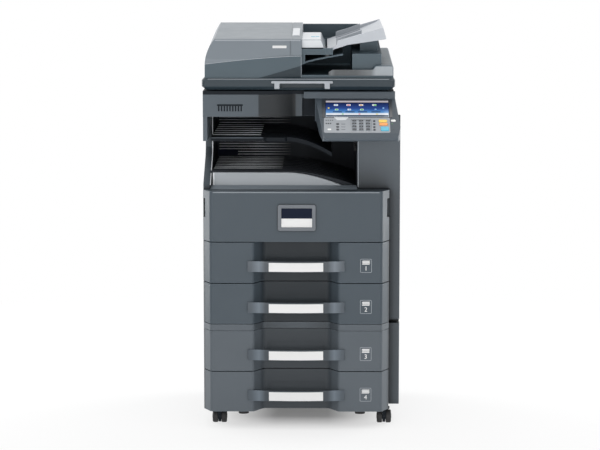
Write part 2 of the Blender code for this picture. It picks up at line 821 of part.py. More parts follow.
def right_doors(panel, dark):
    """Engine side door with its folding bypass tray, and the feeder's side door."""
    door = side_door("right_cover", panel, *UPPER_DOOR, DOOR_FRONT, BYPASS_Z[1] + DOOR_GRIP_H)
    lower_grip = LOWER_DOOR[1] - DOOR_GRIP_H
    side_door("feeder_right_cover", panel, *LOWER_DOOR, FRONT + TOWER_SETBACK, lower_grip)
    axis_x = RIGHT - BYPASS_T / 2
    axis_z = BYPASS_Z[0] + BYPASS_T / 2
    swing = BYPASS_T * 0.8
    cut(door, block(
        (axis_x - swing, RIGHT + OVER),
        (BYPASS_Y[0] - FIT, BYPASS_Y[1] + FIT),
        (axis_z - swing, BYPASS_Z[1] + SEAM),
    ))
    pin = SHAFT_R / 2
    cut(door, spindle("Y", axis_x, axis_z, [
        (BYPASS_Y[0] - PIN_L - EAR_GAP, pin + FIT),
        (BYPASS_Y[1] + PIN_L + EAR_GAP, pin + FIT),
    ], 10))
    tray = piece("bypass_tray", block(
        (axis_x - BYPASS_T / 2, RIGHT), BYPASS_Y, BYPASS_Z,
    ), dark, (axis_x, ROLLER_MID, axis_z))
    weld(
        tray,
        spindle("Y", axis_x, axis_z, [(BYPASS_Y[0] - PIN_L, pin), (BYPASS_Y[0] + SEAM, pin)], 10),
        spindle("Y", axis_x, axis_z, [(BYPASS_Y[1] - SEAM, pin), (BYPASS_Y[1] + PIN_L, pin)], 10),
    )
    mid = (BYPASS_Y[0] + BYPASS_Y[1]) / 2
    cut(tray, block(
        (RIGHT - BYPASS_T / 3, RIGHT + OVER),
        (mid - BYPASS_GRIP_W / 2, mid + BYPASS_GRIP_W / 2),
        (BYPASS_Z[1] - BYPASS_GRIP_H, BYPASS_Z[1] + OVER),
    ))


# Output trays

def tray_curve(left, right, top, fall, samples=8):
    """Top line of a tray: level at the left, then curving down towards the paper exit."""
    points = [(left, top)]
    for index in range(samples + 1):
        share = index / samples
        x = TRAY_FLAT_END + (right - TRAY_FLAT_END) * share
        points.append((x, top - fall * share ** 1.7))
    return points


def band(curve, up, down):
    """Outline of a strip that follows a curve, from its upper to its lower offset."""
    upper = [(x, z + up) for x, z in curve]
    lower = [(x, z - down) for x, z in curve]
    return upper + lower[::-1]


def ribs(left, right, top, fall, front, back):
    """Low ribs along a tray's surface, evenly spaced from front to back."""
    curve = tray_curve(left + 2 * RIB_W, right - 2 * RIB_W, top, fall)
    pitch = (back - front) / RIB_COUNT
    rows = [front + pitch * (index + 0.5) for index in range(RIB_COUNT)]
    return [prism(band(curve, RIB_H, RIB_H), "Y", y, y + RIB_W) for y in rows]


def output_trays(dark, light):
    """Output tray on the engine, its light front insert and the separator tray above."""
    left = LEFT + CHEEK_T + FIT
    right = TOWER_X - FIT
    front = FRONT + LEDGE_D
    floor = LEDGE_Z + FIT
    top = LEDGE_Z + OUTPUT_TRAY_RISE
    fall = OUTPUT_TRAY_RISE - TRAY_PLATE_T
    outline = [(right, floor), (left, floor)] + tray_curve(left, right, top, fall)
    tray = piece("output_tray", prism(outline, "Y", front, CABINET_REAR), dark)
    weld(tray, *ribs(left, right, top, fall, front, CABINET_REAR))
    tip = right - INSERT_END_GAP
    step = OUTPUT_TRAY_RISE - INSERT_DROP
    start = left + INSERT_SIDE_GAP
    outline = [(tip, floor), (start, floor)] + tray_curve(start, tip, LEDGE_Z + step, step - RIB_W)
    piece("tray_insert", prism(outline, "Y", front - SHELL_T, front - FIT), light)
    end = right - SEPARATOR_END_GAP
    top = LEDGE_Z + SEPARATOR_RISE
    curve = tray_curve(left, end, top, SEPARATOR_FALL)
    lip_back = front + TRAY_PLATE_T
    plate = piece("separator_tray", prism(band(curve, 0, 2 * TRAY_PLATE_T), "Y", front, lip_back), dark)
    weld(plate, prism(band(curve, -FIT, TRAY_PLATE_T), "Y", front + TRAY_PLATE_T / 2, CABINET_REAR))
    weld(plate, *ribs(left, end, top - FIT, SEPARATOR_FALL, lip_back, CABINET_REAR))
    tab_right = TRAY_FLAT_END - SEPARATOR_TAB_GAP
    tab_left = tab_right - SEPARATOR_TAB_W
    tab = rounded([
        (tab_left, front + TRAY_PLATE_T / 2, 0),
        (tab_left + TRAY_PLATE_T, front - SHELL_T, 0.008),
        (tab_right - TRAY_PLATE_T, front - SHELL_T, 0.008),
        (tab_right, front + TRAY_PLATE_T / 2, 0),
    ])
    weld(plate, prism(tab, "Z", top - 2 * TRAY_PLATE_T + FIT, top - FIT))


# Scanner

SCOOP_START = -0.131
SCOOP_END = -0.017
SCAN_LEFT = LEFT + SCANNER_INSET
RIGHT_FACE = FRONT + SCOOP_D
TUB_WALL = 0.018
TUB_X = (SCAN_LEFT + TUB_WALL, SCANNER_RIGHT - TUB_WALL)
TUB_Y = (RIGHT_FACE + TUB_WALL, REAR - 2 * TUB_WALL)
TUB_FLOOR = SCANNER_Z + 0.010
RAIL_TOP = TUB_FLOOR + 0.014
GLASS_MID = (
    TUB_X[0] + GLASS_SIDE_GAP + GLASS_W / 2,
    TUB_Y[0] + GLASS_FRONT_GAP + GLASS_D / 2,
)


def scanner_plan():
    """Plan of the scanner: its front scoops back towards the console."""
    outline = [(SCAN_LEFT, REAR - FIT), (SCAN_LEFT, FRONT)]
    for index in range(9):
        share = index / 8
        outline.append((SCOOP_START + (SCOOP_END - SCOOP_START) * share, FRONT + SCOOP_D * share * share))
    return outline + [(SCANNER_RIGHT, RIGHT_FACE), (SCANNER_RIGHT, REAR - FIT)]


def scanner(panel, dark, glass, steel):
    """Scanner tub with rails, top frame, platen glass and the two carriages."""
    tub_top = SCANNER_TOP - SCAN_FRAME_T - FIT
    tub = piece("scanner_housing", prism(scanner_plan(), "Z", SCANNER_Z, tub_top), panel)
    weld(tub, block(
        (SCAN_LEFT + FIT, SCAN_LEFT + SKIRT_T),
        (FRONT + FIT, FRONT + CHEEK_SLOPE_RUN - SEAM),
        (SCANNER_Z - SKIRT_DROP, SCANNER_Z + SKIRT_T),
    ))
    cut(tub, block(TUB_X, TUB_Y, (TUB_FLOOR, SCANNER_TOP)))
    rail_rows = (GLASS_MID[1] - 0.140, GLASS_MID[1] + 0.130)
    rails = [
        block((TUB_X[0] - SEAM, TUB_X[1] + SEAM), (y, y + 0.010), (TUB_FLOOR - SEAM, RAIL_TOP))
        for y in rail_rows
    ]
    weld(tub, *rails)
    grille = []
    for index in range(9):
        x = SCAN_LEFT + 0.045 + 0.0083 * index
        low = SCANNER_Z + 0.016
        grille.append(block((x, x + 0.0045), (FRONT - OVER, FRONT + 0.006), (low, low + 0.020)))
    cut(tub, *grille)
    cut(tub, block(
        (CONSOLE_BAR_LEFT - 2 * SEAM, CONSOLE_LEFT_FRONT),
        (RIGHT_FACE - OVER, RIGHT_FACE + SHELL_T),
        (SCANNER_Z - OVER, PANEL_TOP_Z),
    ))
    plate = prism(scanner_plan(), "Z", SCANNER_TOP - SCAN_FRAME_T, SCANNER_TOP)
    frame = piece("scanner_top_frame", plate, dark)
    half_w = GLASS_W / 2
    half_d = GLASS_D / 2
    x_mid, y_mid = GLASS_MID
    seat = SCANNER_TOP - GLASS_T
    ledge = 0.008
    cut(frame, block(
        (x_mid - half_w - FIT, x_mid + half_w + FIT),
        (y_mid - half_d - FIT, y_mid + half_d + FIT),
        (seat - FIT, SCANNER_TOP + OVER),
    ))
    cut(frame, block(
        (x_mid - half_w + ledge, x_mid + half_w - ledge),
        (y_mid - half_d + ledge, y_mid + half_d - ledge),
        (SCANNER_Z, SCANNER_TOP + OVER),
    ))
    piece("platen_glass", block(
        (x_mid - half_w, x_mid + half_w),
        (y_mid - half_d, y_mid + half_d),
        (seat, SCANNER_TOP),
    ), glass)
    carriage_y = (y_mid - half_d - 0.004, y_mid + half_d + 0.004)
    rest = RAIL_TOP + FIT
    mirror_x = TUB_X[0] + SEAM
    scan_x = mirror_x + CARRIAGE_W + 2 * SEAM
    mirror = piece("mirror_carriage", block(
        (mirror_x, mirror_x + CARRIAGE_W), carriage_y, (rest, rest + CARRIAGE_H),
    ), steel, (mirror_x, y_mid, rest))
    notch_y = (carriage_y[0] + 2 * SHELL_T, carriage_y[1] - 2 * SHELL_T)
    notch = [(SHELL_T, CARRIAGE_H / 2), (CARRIAGE_W + OVER, SEAM), (CARRIAGE_W + OVER, CARRIAGE_H - SEAM)]
    cut(mirror, prism([(mirror_x + u, rest + v) for u, v in notch], "Y", *notch_y))
    scan = piece("scan_carriage", block(
        (scan_x, scan_x + CARRIAGE_W), carriage_y, (rest, rest + CARRIAGE_H),
    ), dark, (scan_x, y_mid, rest))
    trough = [
        (SHELL_T / 2, CARRIAGE_H + OVER),
        (CARRIAGE_W / 2, SHELL_T),
        (CARRIAGE_W - SHELL_T / 2, CARRIAGE_H + OVER),
    ]
    cut(scan, prism([(scan_x + u, rest + v) for u, v in trough], "Y", *notch_y))


# Console

CONSOLE_LEFT_FRONT = 0.064
CONSOLE_LEFT_TOP = 0.043
CONSOLE_BAR_LEFT = 0.007
CONSOLE_RIGHT_FRONT = 0.281
CONSOLE_RIGHT_WIDE = 0.288
SCREEN_U = 0.0690
SCREEN_V = 0.1000
KEYPAD_U = 0.1740
KEYPAD_V = 0.0570
START_KEY = ((0.2305, 0.0275), (0.0235, 0.0215))
STOP_KEY = ((0.2265, 0.0560), (0.0245, 0.0130))
RESET_KEY = ((0.2250, 0.0725), (0.0245, 0.0130))
POWER_KEY = ((0.2610, 0.0760), (0.0140, 0.0095))


def key_outline(key, spare, radius):
    """Rounded outline of a key on the panel, grown by a clearance."""
    (u, v), (width, length) = key
    return rounded([
        (u - spare, v - spare, radius),
        (u + width + spare, v - spare, radius),
        (u + width + spare, v + length + spare, radius),
        (u - spare, v + length + spare, radius),
    ], 3)


def console(panel_finish, screen_finish, key_finishes):
    """Tilted console with its screen, keypad and the keys that travel into it."""
    front = -DEPTH / 2
    back = RIGHT_FACE - FIT
    nose = (front + PANEL_NOSE * cos(CONSOLE_TILT), PANEL_FRONT_Z + PANEL_NOSE * sin(CONSOLE_TILT))
    profile = rounded([
        (front, PANEL_FRONT_Z - 2 * PANEL_LIP / 3, 0.002),
        (front, PANEL_FRONT_Z - PANEL_LIP / 3, 0.002),
        (*nose, 0.003),
        (PANEL_TOP_Y, PANEL_TOP_Z, 0),
        (PANEL_TOP_Y, SCANNER_TOP - SEAM / 2, 0.003),
        (back, SCANNER_TOP - SEAM / 2, 0),
        (back, SCANNER_Z + SEAM, 0),
        (front + UNDERSIDE_D, PANEL_FRONT_Z - SEAM, 0.030),
        (front + PANEL_LIP / 2, PANEL_FRONT_Z - PANEL_LIP, 0.004),
    ])
    body = piece("console_body", prism(profile, "X", -OVER, RIGHT), panel_finish)
    plan = rounded([
        (CONSOLE_LEFT_FRONT, front - FIT, CONSOLE_CORNER_R),
        (CONSOLE_RIGHT_FRONT, front - FIT, CONSOLE_CORNER_R),
        (CONSOLE_RIGHT_WIDE, front + CONSOLE_FLARE, 0.020),
        (SCANNER_RIGHT + SEAM, PANEL_TOP_Y, 0),
        (SCANNER_RIGHT + SEAM, back + OVER, 0),
        (CONSOLE_BAR_LEFT, back + OVER, 0),
        (CONSOLE_BAR_LEFT, PANEL_TOP_Y - 0.004, 0),
        (CONSOLE_LEFT_TOP, PANEL_TOP_Y - 0.010, 0.012),
    ])
    combine(body, "INTERSECT", [prism(plan, "Z", SCANNER_Z - OUTPUT_H, SCANNER_TOP + OVER)])
    cut(body, block(
        (-OVER, CONSOLE_LEFT_TOP - SEAM),
        (front - OVER, back + OVER),
        (PANEL_FRONT_Z - OUTPUT_H, PANEL_TOP_Z),
    ))
    panel = bpy.data.objects.new("console_panel", None)
    panel.location = (0.0, front, PANEL_FRONT_Z)
    panel.rotation_euler = (CONSOLE_TILT, 0.0, 0.0)
    bpy.context.scene.collection.objects.link(panel)
    screen = ((SCREEN_U, SCREEN_V), (SCREEN_W, SCREEN_L))
    pad_w = 3 * KEYPAD_PITCH_U
    pad_l = 4 * KEYPAD_PITCH_V
    pad = ((KEYPAD_U - pad_w / 2, KEYPAD_V - pad_l / 2), (pad_w, pad_l))
    cut(body, prism(key_outline(screen, FIT, 0.003), "Z", -SCREEN_T - FIT, OVER), parent=panel)
    cut(body, prism(key_outline(pad, FIT, 0.003), "Z", -KEY_T - FIT, OVER), parent=panel)
    face = prism(key_outline(screen, 0, 0.003), "Z", -SCREEN_T, 0)
    piece("touch_screen", face, screen_finish, parent=panel)
    mat = piece("number_keypad", prism(key_outline(pad, 0, 0.003), "Z", -KEY_T, -KEY_T / 4),
                key_finishes["number_keypad"], parent=panel)
    caps = []
    for column in range(3):
        for row in range(4):
            corner = (
                KEYPAD_U + (column - 1) * KEYPAD_PITCH_U - KEYCAP_W / 2,
                KEYPAD_V + (row - 1.5) * KEYPAD_PITCH_V - KEYCAP_L / 2,
            )
            outline = key_outline((corner, (KEYCAP_W, KEYCAP_L)), 0, 0.003)
            caps.append(prism(outline, "Z", -KEY_T / 2, KEY_PROUD))
    weld(mat, *caps, parent=panel)
    well = -KEY_T - 2 * KEY_TRAVEL
    keys = {"start_key": START_KEY, "stop_key": STOP_KEY, "reset_key": RESET_KEY, "power_key": POWER_KEY}
    wells = [prism(key_outline(key, FIT, 0.004), "Z", well, OVER) for key in keys.values()]
    cut(body, *wells, parent=panel)
    for name, key in keys.items():
        (u, v), (width, length) = key
        mesh = prism(key_outline(key, 0, 0.004), "Z", -KEY_T, KEY_PROUD)
        piece(name, mesh, key_finishes[name], (u + width / 2, v + length / 2, 0), panel)


# Lid and its hinges

HINGE_MID = (SCAN_LEFT + SCANNER_RIGHT) / 2
HINGE_X = {"hinge_left": SCAN_LEFT + HINGE_INSET, "hinge_right": SCANNER_RIGHT - HINGE_INSET}
LID_FRONT = FRONT - LID_OVERHANG
LID_REAR = HINGE_Y + 0.004
GRIP_X = (GRIP_LEFT, GRIP_LEFT + GRIP_W)


def lid_plan(inset):
    """Rounded plan of the lid, drawn in by an inset."""
    radius = 0.012
    return rounded([
        (LEFT + inset, LID_FRONT + inset, radius),
        (LID_RIGHT - inset, LID_FRONT + inset, radius),
        (LID_RIGHT - inset, LID_REAR, SEAM),
        (LEFT + inset, LID_REAR, SEAM),
    ])


def lid(dark, light, pad_finish, steel):
    """Lid with an undercut rim, its grip, the white pad below it and the two hinges."""
    sections = (
        (LID_UNDERCUT, LID_Z),
        (0.0, LID_Z + LID_BEAD),
        (0.0, LID_TOP - LID_CROWN),
        (LID_CROWN, LID_TOP),
    )
    slab = piece("lid_base", loft([ring(lid_plan(inset), "Z", z) for inset, z in sections]), dark,
                 (HINGE_MID, HINGE_Y, HINGE_Z))
    cut(slab, block(
        (GRIP_X[0] + GRIP_POCKET_INSET, GRIP_X[1] - GRIP_POCKET_INSET),
        (LID_FRONT - OVER, LID_FRONT + GRIP_POCKET_D),
        (LID_Z + GRIP_POCKET_Z, LID_Z + GRIP_POCKET_Z + GRIP_POCKET_H),
    ))
    grip_top = LID_Z + GRIP_RISE
    lip = LID_Z + GRIP_LIP
    foot = LID_Z + GRIP_FOOT
    outer = (GRIP_X[0] + GRIP_INSET, GRIP_X[1] - GRIP_INSET)
    inner = (outer[0] + GRIP_LEG, outer[1] - GRIP_LEG)
    outline = rounded([
        (GRIP_X[0], lip, 0.002),
        (outer[0], lip, 0),
        (outer[0], foot, 0.002),
        (inner[0], foot, 0.002),
        (inner[0], lip, 0.003),
        (inner[1], lip, 0.003),
        (inner[1], foot, 0.002),
        (outer[1], foot, 0.002),
        (outer[1], lip, 0),
        (GRIP_X[1], lip, 0.002),
        (GRIP_X[1], grip_top, 0.003),
        (GRIP_X[0], grip_top, 0.003),
    ], 3)
    piece("lid_handle", prism(outline, "Y", LID_FRONT - FIT - GRIP_T, LID_FRONT - FIT), light)
    x_mid, y_mid = GLASS_MID
    pad_x = GLASS_W / 2 + PAD_MARGIN
    pad_y = GLASS_D / 2 + PAD_MARGIN
    piece("platen_pad", block(
        (x_mid - pad_x, x_mid + pad_x),
        (y_mid - pad_y, y_mid + pad_y),
        (SCANNER_TOP + FIT, LID_Z - FIT),
    ), pad_finish)
    for name, x in HINGE_X.items():
        half = HINGE_W / 2
        cut(slab, block(
            (x - half - FIT, x + half + FIT),
            (HINGE_Y - HINGE_R - FIT, LID_REAR + OVER),
            (LID_Z - OVER, HINGE_Z),
        ))
        socket = [(x - half - FIT, HINGE_R + FIT), (x + half + FIT, HINGE_R + FIT)]
        cut(slab, spindle("X", HINGE_Y, HINGE_Z, socket))
        bracket = piece(name, block(
            (x - half + FIT, x + half - FIT),
            (HINGE_Y - HINGE_R + SEAM, HINGE_Y + HINGE_TAIL),
            (SCANNER_TOP + FIT, HINGE_Z - SEAM),
        ), steel)
        weld(bracket, spindle("X", HINGE_Y, HINGE_Z, [(x - half, HINGE_R), (x + half, HINGE_R)]))


# Document feeder

FLOOR_Z = LID_TOP + FIT + FLOOR_T
FEED_RIGHT = LID_RIGHT - LID_SIDE_GAP
SEAM_LEFT = (LEFT + FEEDER_SIDE_GAP, LID_TOP + FEEDER_SEAM_LEFT)
SEAM_RIGHT = (FEEDER_END, LID_TOP + FEEDER_SEAM_RIGHT)
ROLLER_X = FEEDER_END - ROLLER_SETBACK
DOC_Y = (FEEDER_FRONT + DOC_FRONT_GAP, FEEDER_REAR - DOC_REAR_GAP)
EAR_Y = (DOC_Y[0] - EAR_GAP - EAR_T, DOC_Y[1] + EAR_GAP + EAR_T)
DOC_HINGE = (DOC_TRAY_START + HINGE_BACK, LID_TOP + DOC_TRAY_Z)
THROAT_END = FEEDER_END + THROAT_W
THROAT_TOP = LID_TOP + THROAT_Z + THROAT_T


def lean(mesh, pitch=FEEDER_PITCH):
    """Slope the feeder's upper parts up towards the rear, keeping its foot level."""
    for vert in mesh.verts:
        share = min(1.0, max(0.0, (vert.co.z - LID_TOP) / FEEDER_SEAM_LEFT))
        vert.co.z += (vert.co.y - FEEDER_FRONT) * tan(pitch) * share
    return mesh


def tilt(mesh, height, pitch=FEEDER_PITCH):
    """Turn a round piece that runs along Y up to a pitch, about the feeder's front."""
    turn = Matrix.Rotation(pitch, 3, "X")
    bmesh.ops.rotate(mesh, cent=(0.0, FEEDER_FRONT, height), matrix=turn, verts=mesh.verts)
    return mesh


def seam_height(x):
    """Height of the seam at the feeder's front, at a place along X."""
    share = (x - SEAM_LEFT[0]) / (SEAM_RIGHT[0] - SEAM_LEFT[0])
    return SEAM_LEFT[1] + (SEAM_RIGHT[1] - SEAM_LEFT[1]) * (1 - (1 - share) ** 1.5)


def feeder_seam(lift, samples=6):
    """Curved line where the feeder's top cover meets its body, left to right."""
    pitch = (SEAM_RIGHT[0] - SEAM_LEFT[0]) / samples
    places = [SEAM_LEFT[0] + pitch * index for index in range(samples)] + [SEAM_RIGHT[0]]
    return [(x, seam_height(x) + lift) for x in places]


def doc_top(x):
    """Height of the document tray's bed at its front edge: it steepens towards the far end."""
    run = x - DOC_TRAY_START
    return DOC_HINGE[1] + BED_RISE + DOC_TRAY_SLOPE * run + DOC_TRAY_CURVE * run * run


def bed_curve(left, right, samples=8):
    """Line of the document tray's bed between two places along X."""
    pitch = (right - left) / samples
    places = [left + pitch * index for index in range(samples + 1)]
    return [(x, doc_top(x)) for x in places]


def facet():
    """Cutter for the sloping facet at the lower front of the roller housing."""
    foot = LID_TOP + FIT
    corners = [
        Vector((FEEDER_END - FACET_W, FEEDER_FRONT, foot)),
        Vector((FEEDER_END, FEEDER_FRONT, foot + FACET_H)),
        Vector((FEEDER_END, FEEDER_FRONT + FACET_D, foot)),
    ]
    middle = sum(corners, Vector()) / 3
    outside = Vector((FEEDER_END, FEEDER_FRONT - FACET_W / 2, foot - FACET_H / 2))
    mesh = bmesh.new()
    for corner in corners:
        mesh.verts.new(middle + (corner - middle) * 1.2)
    mesh.verts.new(outside)
    bmesh.ops.convex_hull(mesh, input=mesh.verts)
    bmesh.ops.recalc_face_normals(mesh, faces=mesh.faces)
    return mesh


def throat_outline():
    """Side view of the wall right of the cover and the shelf that documents are drawn in over."""
    wall = FEEDER_END + THROAT_WALL
    shelf = THROAT_TOP - THROAT_T
    step = SEAM_RIGHT[1] - 4 * SEAM
    return [
        (FEEDER_END - SEAM, SEAM_LEFT[1]),
        (wall, SEAM_LEFT[1]),
        (wall, shelf),
        (THROAT_END, shelf),
        (THROAT_END, THROAT_TOP),
        (FEEDER_END + FIT, THROAT_TOP),
        (FEEDER_END + FIT, step),
        (FEEDER_END - SEAM, step),
    ]


def exit_guide(samples=6):
    """Line of the curved plate that the documents leave over."""
    start = FEEDER_END - SEAM
    points = []
    for index in range(samples + 1):
        share = index / samples
        x = start + EXIT_GUIDE_W * share
        points.append((x, LID_TOP + EXIT_GUIDE_Z + EXIT_GUIDE_RISE * share ** 0.7))
    return points


def feeder_body(panel):
    """Feeder base: roller housing, throat, exit floor with its raised end, and the tray's pedestal."""
    foot = LID_TOP + FIT
    outline = [(FEEDER_END, foot), (SEAM_LEFT[0] - FIT, foot)] + feeder_seam(0)
    body = piece("adf_body", lean(prism(outline, "Y", FEEDER_FRONT, FEEDER_REAR)), panel)
    cut(body, facet())
    rim_left = FEED_RIGHT - RIM_W
    floor = rounded([
        (FEEDER_END - OVER, foot + FIT, 0),
        (FEED_RIGHT, foot + FIT, 0),
        (FEED_RIGHT, LID_TOP + RIM_H, 0.006),
        (rim_left, LID_TOP + RIM_H, 0.010),
        (rim_left - 2 * SEAM, FLOOR_Z, 0.006),
        (FEEDER_END - OVER, FLOOR_Z, 0),
    ], 3)
    weld(body, lean(prism(floor, "Y", FEEDER_FRONT + FACET_D + FIT, FEEDER_REAR - FIT)))
    weld(body, lean(prism(throat_outline(), "Y", *EAR_Y), DOC_PITCH))
    guide = band(exit_guide(), 0, EXIT_GUIDE_T)
    weld(body, lean(prism(guide, "Y", EAR_Y[0] + SEAM, EAR_Y[1] - SEAM), DOC_PITCH))
    base_x = (PEDESTAL_LEFT, PEDESTAL_LEFT + PEDESTAL_W)
    base_top = LID_TOP + PEDESTAL_H
    weld(body, lean(block(base_x, (DOC_Y[0] + SEAM, DOC_Y[1] - SEAM), (foot + 2 * FIT, base_top))))
    neck_x = (base_x[1] - NECK_INSET - NECK_W, base_x[1] - NECK_INSET)
    neck = [(x, z - DOC_TRAY_T - EAR_GAP) for x, z in bed_curve(*neck_x, 3)]
    neck += [(neck_x[1], base_top - SEAM), (neck_x[0], base_top - SEAM)]
    neck_y = (DOC_Y[0] + NECK_SETBACK, DOC_Y[1] - NECK_SETBACK)
    weld(body, lean(prism(neck, "Y", *neck_y), DOC_PITCH))
    wall_top = LID_TOP + FEEDER_H - 2 * SEAM
    weld(body, lean(prism(rounded([
        (FEEDER_END + FIT, foot + 2 * FIT, 0),
        (rim_left, foot + 2 * FIT, 0),
        (rim_left, LID_TOP + RIM_H, 0.010),
        (base_x[0] + PEDESTAL_W / 2, wall_top, 0.030),
        (FEEDER_END + FIT, wall_top, 0),
    ]), "Y", FEEDER_REAR - FLOOR_T, FEEDER_REAR - 2 * FIT)))
    ear_x = (THROAT_END - 2 * SEAM, DOC_HINGE[0] + EAR_REACH)
    ear_z = (THROAT_TOP - THROAT_T + FIT, DOC_HINGE[1] + EAR_T)
    weld(
        body,
        lean(block(ear_x, (EAR_Y[0] + FIT, DOC_Y[0] - EAR_GAP), ear_z), DOC_PITCH),
        lean(block(ear_x, (DOC_Y[1] + EAR_GAP, EAR_Y[1] - FIT), ear_z), DOC_PITCH),
    )
    pin = SHAFT_R / 2 + FIT
    bore = [(DOC_Y[0] - EAR_T, pin), (DOC_Y[1] + EAR_T, pin)]
    cut(body, tilt(spindle("Y", *DOC_HINGE, bore, 10), DOC_HINGE[1], DOC_PITCH))
    roller_z = seam_height(ROLLER_X) - FEED_ROLLER_R / 2
    trough_y = (FEEDER_FRONT + TROUGH_END_GAP, FEEDER_REAR - TROUGH_END_GAP)
    trough = FEED_ROLLER_R + SEAM
    cut(body, lean(block(
        (ROLLER_X - trough, ROLLER_X + trough), trough_y, (roller_z - trough, roller_z + 2 * trough),
    )))
    reach = JOURNAL_L + FIT
    bearing = [(trough_y[0] - reach, SHAFT_R + FIT), (trough_y[1] + reach, SHAFT_R + FIT)]
    cut(body, tilt(spindle("Y", ROLLER_X, roller_z, bearing, 12), roller_z))
    return roller_z, trough_y


def feed_roller(rubber, roller_z, trough_y):
    """Document feed roller with three rubber bands on its shaft."""
    stations = [(trough_y[0] - JOURNAL_L, SHAFT_R)]
    third = (trough_y[1] - trough_y[0]) / 3
    for index in range(3):
        mid = trough_y[0] + third * (index + 0.5)
        for level, radius in ((mid - third / 4, SHAFT_R), (mid - third / 4, FEED_ROLLER_R),
                              (mid + third / 4, FEED_ROLLER_R), (mid + third / 4, SHAFT_R)):
            stations.append((level, radius))
    stations.append((trough_y[1] + JOURNAL_L, SHAFT_R))
    middle = sum(trough_y) / 2
    rise = (middle - FEEDER_FRONT) * tan(FEEDER_PITCH)
    mesh = tilt(spindle("Y", ROLLER_X, roller_z, stations, 16), roller_z)
    piece("adf_feed_roller", mesh, rubber, (ROLLER_X, middle, roller_z + rise))


def cover_trim(inset):
    """Space over the top cover's sloping front, its top and its rear, drawn in by an inset."""
    peak = LID_TOP + FEEDER_H - inset
    front = FEEDER_FRONT + inset
    low = SEAM_RIGHT[1] - OVER
    high = LID_TOP + 2 * FEEDER_H
    return rounded([
        (FEEDER_FRONT - OVER, low, 0),
        (front, low, 0),
        (front + FEEDER_LEAN, peak, 0.014),
        (FEEDER_REAR - OVER, peak, 0.020),
        (FEEDER_REAR + OVER, peak - 0.030, 0),
        (FEEDER_REAR + OVER, high, 0),
        (FEEDER_FRONT - OVER, high, 0),
    ])


def feeder_top(panel):
    """Top cover of the feeder: rolled left shoulder, sloping front, hollow below, flap at the right."""
    ceiling = LID_TOP + FEEDER_H + SHOULDER_H
    shoulder = rounded([
        (FEEDER_END, ceiling, 0),
        (LEFT + SHOULDER_W, ceiling, 0),
        (SEAM_LEFT[0] + SEAM, LID_TOP + FEEDER_H - SHOULDER_DROP, SHOULDER_R),
        (SEAM_LEFT[0], SEAM_LEFT[1] + FIT, 0),
    ], 5)
    pivot = (SEAM_LEFT[0], FEEDER_FRONT, SEAM_LEFT[1] + FIT)
    outline = shoulder[:-1] + feeder_seam(FIT)
    cover = piece("adf_top_cover", lean(prism(outline, "Y", FEEDER_FRONT, FEEDER_REAR)), panel, pivot)
    cut(cover, lean(prism(cover_trim(0), "X", LEFT - OVER, FEEDER_END + OVER)))
    groove_x = FEEDER_END - END_CAP_W
    cut(cover, lean(prism(cover_trim(GROOVE), "X", groove_x, groove_x + GROOVE)))
    cut(cover, lean(block(
        (LEFT + COVER_WALL_LEFT, FEEDER_END - COVER_WALL_RIGHT),
        (FEEDER_FRONT + COVER_WALL_FRONT, FEEDER_REAR - COVER_WALL_REAR),
        (SEAM_LEFT[1] - EAR_GAP, LID_TOP + FEEDER_H - COVER_WALL_TOP),
    )))
    low = THROAT_TOP + FLAP_GAP
    flap = rounded([
        (FEEDER_END - 2 * SEAM, low, 0),
        (THROAT_END - SEAM, low, 0.003),
        (THROAT_END - FLAP_RAKE, low + FLAP_T, 0.004),
        (FEEDER_END - 2 * SEAM, low + FLAP_T, 0),
    ], 3)
    weld(cover, lean(prism(flap, "Y", DOC_Y[0] + SEAM, DOC_Y[0] + FLAP_D), DOC_PITCH))


def rim_outline():
    """Side view of the document tray's rim: a wedge that deepens towards its raked far end."""
    x = DOC_TRAY_START + RIM_START
    z = DOC_HINGE[1]
    return rounded([
        (x, z + RIM_LOW, 0.002),
        (DOC_TRAY_END, z + RIM_END_LOW, 0.003),
        (DOC_TRAY_END - RIM_RAKE, z + RIM_END_HIGH, 0.003),
        (x + SEAM, z + RIM_HIGH, 0.003),
    ], 3)


